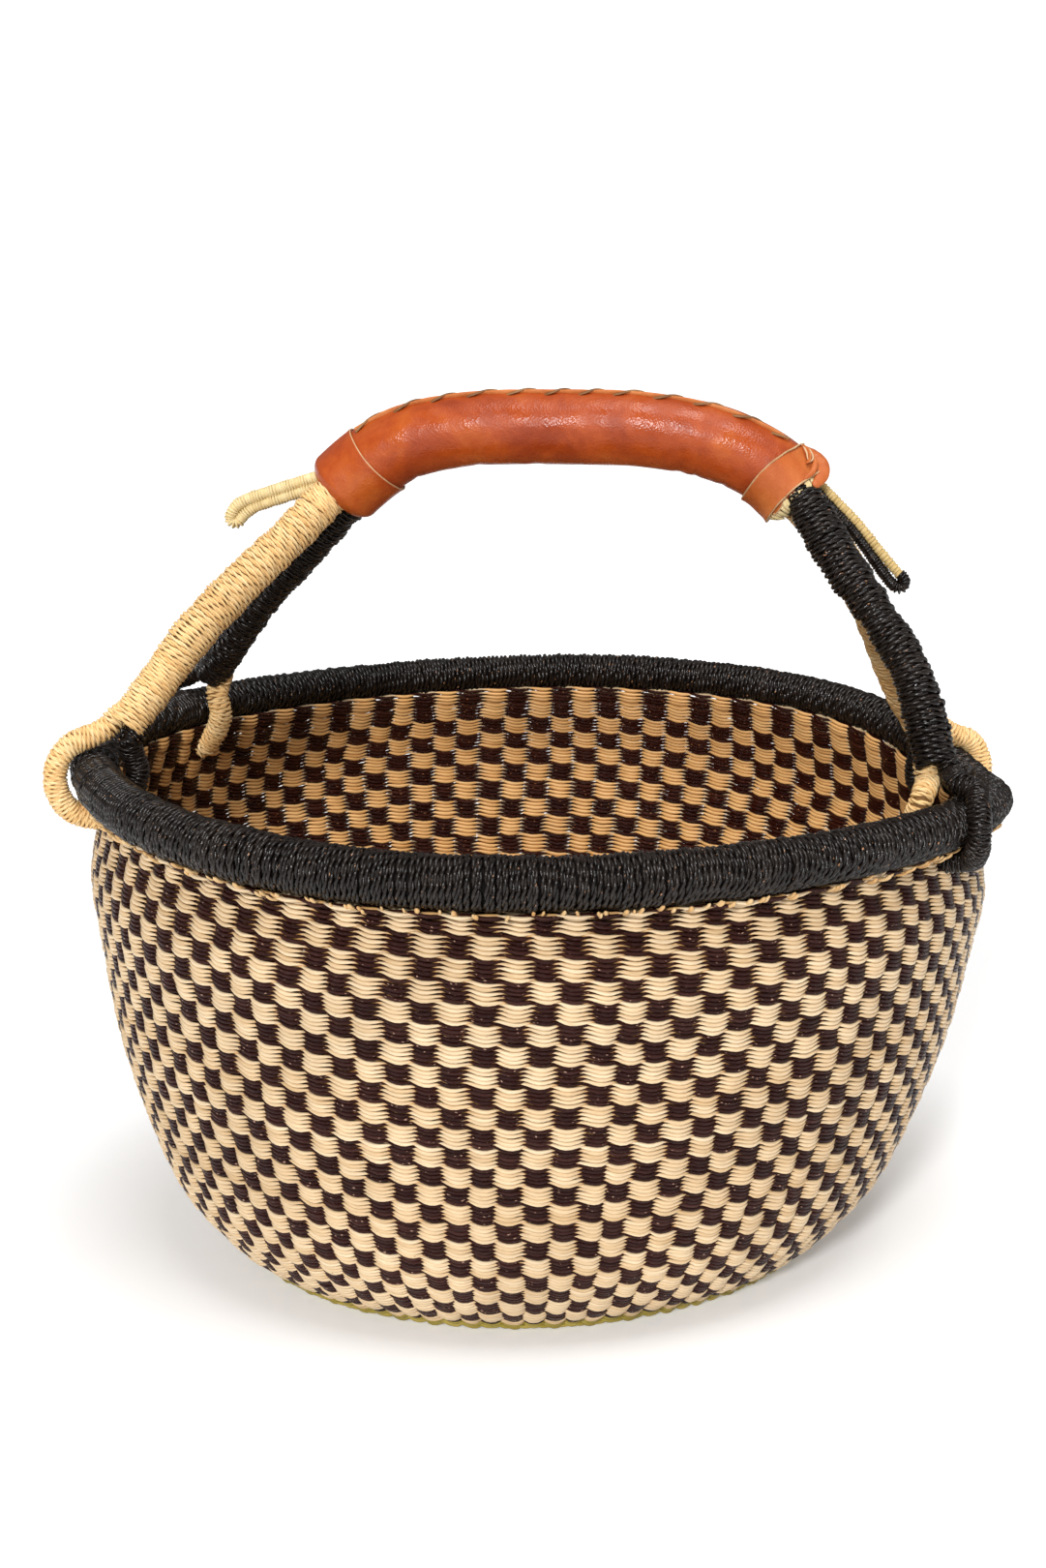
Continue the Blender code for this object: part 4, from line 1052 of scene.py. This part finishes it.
def right_edge_line(angle):
    return (GRIP_TOTAL - 13.5 + 3.2 * np.cos(angle) - 3.0 * np.sin(angle)
            + 0.2 * np.sin(3.0 * angle))


def right_end_line(angle):
    return (GRIP_TOTAL + 0.5 - 0.75 * np.cos(angle) - 1.8 * np.sin(angle)
            + 1.2 * np.cos(2.0 * angle))


def under_line(angle):
    return right_end_line(angle) - 1.4 + 3.4 * np.exp(-((angle - 2.1) / 0.55) ** 2)


def sleeve_shape(s, _):
    """The sleeve is drawn in where it goes under the bands."""
    return -1.2 * np.exp(-s / 3.0) - 1.2 * np.exp(-(GRIP_TOTAL - s) / 3.0)


def collar_shape(s, angle):
    """The left collar rounds over at the end of the grip, and swells at its edge."""
    over = np.clip((3.5 - s) / 5.0, 0.0, 1.0)
    return -3.4 * over ** 2 + 0.25 * np.exp(-((s - left_edge_line(angle)) / 1.2) ** 2)


def band_shape(s, angle):
    """The right band is slack on top and swells at both edges."""
    edges = sum(np.exp(-((s - line(angle)) / 1.5) ** 2)
                for line in (right_edge_line, right_end_line))
    return (0.25 * edges - 1.1 * np.clip(np.cos(angle), 0.0, 1.0)
            + 0.25 * wobble(75, s / 3.0, np.sin(angle) * 4.0))


def make_grip():
    """The leather sleeve, its collar and band, and what fills and sews it."""
    skin = GRIP_RADIUS - 0.2
    shell("grip_sleeve", level_line(0.5), level_line(GRIP_TOTAL - 0.5), PADDING_RADIUS,
          GRIP_RADIUS, TAN_LOOK, ("grip_leather",), 260, 192, sleeve_shape)
    shell("left_collar_fold", level_line(-1.6), left_edge_line, skin, COLLAR_RADIUS - 0.3,
          TAN_LOOK, ("left_collar",), 60, shape=collar_shape)
    cut_edge("left_collar_edge", left_edge_line, COLLAR_RADIUS - 0.45, 0.42,
             (EDGE, "tan_leather"))
    shell("right_band", right_edge_line, right_end_line, skin, COLLAR_RADIUS, PALE_LOOK,
          ("right_collar",), shape=band_shape)
    cut_edge("right_band_edge_1", right_edge_line, COLLAR_RADIUS - 0.15, 0.5, PALE_EDGE_LOOK)
    cut_edge("right_band_edge_2", right_end_line, COLLAR_RADIUS - 0.15, 0.5, PALE_EDGE_LOOK)
    # A second layer of the band shows below its lower edge
    shell("right_band_under", level_line(GRIP_TOTAL - 9.0), under_line, PADDING_RADIUS + 0.8,
          GRIP_RADIUS - 0.1, PALE_LOOK, (), 16, 120)
    cut_edge("right_band_edge_3", under_line, GRIP_RADIUS - 0.5, 0.5, PALE_EDGE_LOOK)
    make_padding()
    make_seam()
    make_knot()


def make_padding():
    """Straw ends that fill the sleeve, seen at both ends of the grip."""
    parts = []
    rng = np.random.default_rng(91)
    ways = np.linspace(0.0, 1.0, 7)
    rings = ((46, PADDING_RADIUS - 0.4, 1.9), (40, PADDING_RADIUS - 2.2, 0.6), (30, 9.4, 0.6))
    for base, out, reach, taper, puff in ((4.0, -1.0, 2.0, 3.0, 0.0),
                                          (GRIP_TOTAL - 4.0, 1.0, 7.2, 2.4, 1.0)):
        for ring, (count, radius, bulge) in enumerate(rings):
            for k in range(count):
                angle = FULL * (k + rng.uniform(-0.3, 0.3)) / count + 0.18 * ways
                length = 4.0 + (reach - ring * 0.6 + rng.uniform(-0.8, 0.8)) * 0.75
                r = radius - taper * ways ** 3 + rng.uniform(-0.3, 0.3)
                r = r + puff * bulge * np.sin(math.pi * ways) ** 2
                parts.append(grip_strip(base + out * ways * length, angle, r, 0.85, 0.95, 6,
                                        int(rng.integers(1 << 30))))
    make_strands("padding_straws", parts, (STRAW_PALE, "natural_straw"), ("grip_padding",))


def make_seam():
    """The lapped edge along the top and the lace that is whipped over it."""
    start, stop = LEFT_COLLAR_LENGTH - 1.0, GRIP_TOTAL - RIGHT_COLLAR_LENGTH + 0.5
    s = np.linspace(start, stop, 700)
    phase = (s - start) / SEAM_PITCH + 0.16 * wobble(94, s / 17.0)
    bulge = np.sin(math.pi * ((phase - 0.31) % 1.0)) ** 0.7
    angle = SEAM_ANGLE + 2.6 * DEG * bulge
    flap = grip_strip(s, angle, GRIP_RADIUS + 0.35 + grip_lumps(s, angle), 0.38 + 0.27 * bulge,
                      0.75 + 0.75 * bulge, 10, 92, -0.25, 1.05)
    make_strands("seam_flap", [flap], (FLAP, "pale_leather"))
    way = phase % 1.0
    over = way < LACE_OVER
    turn = np.where(over, way / LACE_OVER, (way - LACE_OVER) / (1.0 - LACE_OVER)) * math.pi
    angle = SEAM_ANGLE + LACE_SWAY * np.where(over, np.cos(turn), -np.cos(turn))
    height = 0.45 + np.where(over, 0.75, -1.1) * np.sin(turn)
    lace = grip_strip(s, angle, GRIP_RADIUS + height + grip_lumps(s, angle), 0.36, 0.78, 8, 93)
    make_strands("seam_lacing", [lace], (LACE, "lace_leather"), ("seam_lace",))


def band_strip(points, thick, wide, seed, turned=0.1):
    """A leather strip through points of arc length past the grip's end, angle and radius."""
    s, angle, radius = smooth(points, 10).T
    belly = np.sin(math.pi * (0.12 + 0.76 * np.linspace(0.0, 1.0, len(s)))) ** 0.8
    return grip_strip(GRIP_TOTAL + s, angle * DEG, radius, thick * belly, wide * belly, 12, seed,
                      turned)


def make_knot():
    """The band's end: a puffed fold over its rear edge, and a small flap with pale edges."""
    make_strands("band_fold", [
        band_strip(((-9.0, -16.0, 15.6), (-5.0, -2.0, 16.3), (-1.0, 12.0, 16.7),
                    (1.8, 30.0, 16.4), (2.6, 50.0, 15.0)), 1.5, 3.4, 95),
        band_strip(((-7.5, 8.0, 16.4), (-4.0, 22.0, 17.2), (-2.2, 40.0, 17.3),
                    (-2.4, 58.0, 16.8)), 0.8, 1.3, 99),
        band_strip(((-10.4, 6.0, 16.0), (-8.4, 15.0, 17.0), (-6.4, 25.0, 17.5),
                    (-5.6, 36.0, 17.0)), 0.6, 2.0, 96, 0.5),
    ], PALE_LOOK, ("band_knot",))
    make_strands("band_fold_edge", [
        band_strip(((-10.6, 6.0, 16.8), (-8.6, 19.0, 17.6), (-6.2, 32.0, 17.7)), 0.3, 0.42, 97),
        band_strip(((-10.6, 6.0, 16.8), (-7.6, 10.0, 17.7), (-5.2, 24.0, 18.0),
                    (-5.4, 34.0, 17.6)), 0.3, 0.4, 98),
    ], PALE_EDGE_LOOK)


# Cord ends at the grip

TAIL_CORD_PITCH = 1.1
TAIL_TWIST = 30.0
TAIL_CORE_DEPTH = 0.7
# Points of a tail along its direction out of the grip, up from it and towards the viewer
LEFT_TAIL = (
    (-6.0, 2.0, 0.0), (6.0, 2.0, 0.0), (18.0, 2.1, 0.0), (30.0, 2.1, 0.0), (38.5, 1.9, 0.0),
    (43.6, 0.4, 0.0), (46.8, -2.6, 0.0), (47.6, -4.9, 0.3), (45.6, -6.2, 0.8),
    (42.2, -4.4, 1.0), (37.0, -2.3, 0.7), (30.0, -1.9, 0.3), (22.0, -1.9, 0.0),
    (8.0, -1.9, 0.0), (-6.0, -1.9, 0.0),
)
RIGHT_BLACK_TAIL = (
    (55.6, 4.2, 0.0), (58.8, 4.2, 0.0), (60.6, 1.9, 0.0), (59.0, -0.5, 0.0), (54.0, -1.2, 0.0),
    (46.0, -1.0, 0.0), (30.0, -0.8, 0.0), (16.0, -2.4, 0.0), (6.0, -3.6, 0.0),
    (-6.0, -4.4, 0.0),
)
RIGHT_STRAW_TAIL = (
    (-6.0, -1.5, -1.6), (6.0, -0.4, -1.6), (16.0, 1.0, -1.2), (28.0, 2.5, -0.8),
    (44.0, 3.1, -0.3), (56.5, 3.9, 0.0),
)


def tail_frame(left, lift, side, flare):
    """Start, direction out of the grip, and the square upward direction of a tail."""
    end, along_grip = grip_end(left)
    level = unit(np.array((along_grip[0], 0.0, 0.0)))
    outwards = unit(along_grip * (1.0 - flare) + level * flare)
    square = np.array((-along_grip[2], 0.0, along_grip[0]))
    normal = np.array((-outwards[2], 0.0, outwards[0]))
    if normal[2] < 0.0:
        normal, square = -normal, -square
    return end + square * lift + np.array((0.0, side, 0.0)), outwards, normal


def make_tails():
    """The wound cord ends that stand out of the grip."""
    for name, node, look, place, radius, points in (
        ("left_tail_winding", "left_tail_loop", (STRAW_PALE, "natural_straw"),
         (True, 7.0, 3.5, 0.58), 2.85, LEFT_TAIL),
        ("right_black_tail_winding", "right_black_tail", BLACK_LOOK,
         (False, 10.6, 3.0, -0.1), 2.8, RIGHT_BLACK_TAIL),
        # The right straw tail takes the darker copy of the straw: painted shade
        ("right_straw_tail_winding", "right_straw_tail", (STRAW_SHADED, "natural_straw"),
         (False, 10.6, 3.0, -0.1), 2.4, RIGHT_STRAW_TAIL),
    ):
        start, outwards, normal = tail_frame(*place)
        axes = np.stack([outwards, normal, np.cross(outwards, normal)])
        path = resample(smooth(start + np.array(points) @ axes, 8), 160)
        parts = winding(path, radius, TAIL_CORD_PITCH, 700 + len(name), TAIL_TWIST, 0.02,
                        step=0.9, fill=1.5)
        parts.append(core_tube(path, radius - TAIL_CORE_DEPTH, 702))
        make_strands(name, parts, look, (node,))


# Base

BASE_MIDDLE = 2.35
BASE_SWING = 1.1
BASE_PITCH = 2.0
BASE_OUTER = 125.2
BASE_DYED_INNER = 116.8
BASE_CENTRE = 3.0
# Pieces of the rows: between two radii, over a number of spokes
BASE_RINGS = (
    ((97.0, 200.0, 104),), ((77.0, 97.0, 104),), ((58.0, 77.0, 104),),
    ((29.0, 58.0, 52), (14.0, 29.0, 26), (0.0, 14.0, 12)),
)
# Where every eighth, fourth, second and other spoke starts
SPOKE_STARTS = ((8, 4.0), (4, 14.0), (2, 29.0), (1, 58.0))
SPOKE_END = 125.0
UP = np.array((0.0, 0.0, 1.0))


def base_rows(radii, columns, seed):
    """Concentric twined rows of the base: both strands of each row."""
    t = (np.arange(columns)[:, None] + WEFT_SAMPLES).reshape(-1) + 0.0 * radii[:, None]
    angle = FULL * t / columns
    parts = []
    for sign in (1, -1):
        sway = sign * np.cos(math.pi * t)
        z = BASE_MIDDLE + BASE_SWING * sway * (1.35 - 0.35 * sway * sway)
        r = radii[:, None] + 0.45 * sign * np.sin(math.pi * t)
        centre = round_place(r + 0.35 * around(seed, angle, (2, 3, 5)), angle, z)
        parts.append(sweep(centre, np.broadcast_to(UP, centre.shape), 0.8, BASE_PITCH * 0.58,
                           WEFT_SIDES, True, seed + sign))
    return parts


def make_base(dyed_parts):
    """The dyed rows with the wall's lowest ones, the other rows, and the spokes in them."""
    radii = np.arange(BASE_OUTER, BASE_CENTRE, -BASE_PITCH)
    inner = radii[radii <= BASE_DYED_INNER]
    make_strands("dyed_rows", dyed_parts + base_rows(radii[radii > BASE_DYED_INNER], 104, 600),
                 (YELLOW, "yellow_weft"), ("base_dyed_ring",))
    for piece, rings in enumerate(BASE_RINGS):
        parts = []
        for low, high, columns in rings:
            parts += base_rows(inner[(inner > low) & (inner <= high)], columns, 610 + columns)
        make_strands("base_rows_" + str(piece + 1), parts, STRAW_LOOK,
                     () if piece else ("base_weave",))
    spokes = []
    for k in range(STAKES):
        start = next(start for every, start in SPOKE_STARTS if k % every == 0)
        centre = round_place(np.linspace(start, SPOKE_END, 24), FULL * (k + 0.5) / STAKES,
                             BASE_MIDDLE)
        spokes.append(strip(centre, centre + UP, 0.7, 1.3, 6, 620))
    make_strands("base_spokes", spokes, (STAKE, "stake_grass"))


# Camera, light and floor

CAMERA_PLACE = (196.007, -1488.822, 606.483)
CAMERA_YAW = 7.5 * DEG
CAMERA_ELEVATION = 14.9328 * DEG
CAMERA_ROLL = -1.1178 * DEG
# In pixels of the photograph: its height, its middle, the lens's axis and the focal length
PHOTO_HEIGHT = 1620.0
PHOTO_MIDDLE = (540.5, 810.0)
LENS_AXIS = (562.67, 790.61)
FOCAL_LENGTH = 3741.26
SENSOR = (24.0, 36.0)
WORLD_STRENGTH = 0.32
FLOOR_HALF = 40.0
FLOOR_GLOW = 0.2


def turned(angle):
    """A turn about the third axis."""
    c, s = math.cos(angle), math.sin(angle)
    return np.array(((c, -s, 0.0), (s, c, 0.0), (0.0, 0.0, 1.0)))


def make_camera():
    """The photograph's view."""
    c, s = math.cos(CAMERA_ELEVATION), math.sin(CAMERA_ELEVATION)
    pitch = np.array(((1.0, 0.0, 0.0), (0.0, s, -c), (0.0, c, s)))
    matrix = np.eye(4)
    matrix[:3, :3] = turned(CAMERA_YAW) @ pitch @ turned(CAMERA_ROLL)
    matrix[:3, 3] = np.array(CAMERA_PLACE) * MM
    data = bpy.data.cameras.new("camera")
    data.sensor_fit = "VERTICAL"
    data.sensor_width, data.sensor_height = SENSOR
    data.lens = FOCAL_LENGTH / PHOTO_HEIGHT * SENSOR[1]
    data.shift_x = (PHOTO_MIDDLE[0] - LENS_AXIS[0]) / PHOTO_HEIGHT
    data.shift_y = (LENS_AXIS[1] - PHOTO_MIDDLE[1]) / PHOTO_HEIGHT
    data.clip_start = 0.05
    data.clip_end = 30.0
    camera = add_object("camera", data)
    camera.matrix_world = Matrix(matrix.tolist())
    bpy.context.scene.camera = camera


def sun(name, elevation, azimuth, strength, softness):
    """A soft distant light from a height and a compass direction seen from the basket."""
    data = bpy.data.lights.new(name, "SUN")
    data.energy = strength
    data.angle = softness * DEG
    e, a = elevation * DEG, azimuth * DEG
    source = Vector((math.cos(e) * math.cos(a), math.cos(e) * math.sin(a), math.sin(e)))
    light = add_object(name, data)
    light.rotation_euler = (-source).to_track_quat("-Z", "Y").to_euler()


def make_studio():
    """Even white light from all round, a pale floor and two soft suns."""
    bpy.context.scene.view_settings.view_transform = "Standard"
    world = bpy.data.worlds.new("studio")
    bpy.context.scene.world = world
    world.use_nodes = True
    background = world.node_tree.nodes["Background"]
    background.inputs["Color"].default_value = (1.0, 1.0, 1.0, 1.0)
    background.inputs["Strength"].default_value = WORLD_STRENGTH
    mesh = bpy.data.meshes.new("floor")
    mesh.from_pydata([(x * FLOOR_HALF, y * FLOOR_HALF, 0.0)
                      for x, y in ((-1, -1), (1, -1), (1, 1), (-1, 1))], [], [(0, 1, 2, 3)])
    shade = Shade("floor")
    shade.feed(shade.shader, {"Base Color": (0.86, 0.86, 0.86), "Roughness": 0.9,
                              "Specular IOR Level": 0.1, "Emission Color": (1.0, 1.0, 1.0),
                              "Emission Strength": FLOOR_GLOW})
    mesh.materials.append(shade.material)
    add_object("floor", mesh)
    sun("front", 27.0, -93.0, 2.3, 8.0)
    sun("top", 76.0, -55.0, 2.0, 32.0)


make_base(make_wall())
make_stakes()
make_stake_ends()
make_rim()
make_handle()
make_grip()
make_tails()
make_camera()
make_studio()
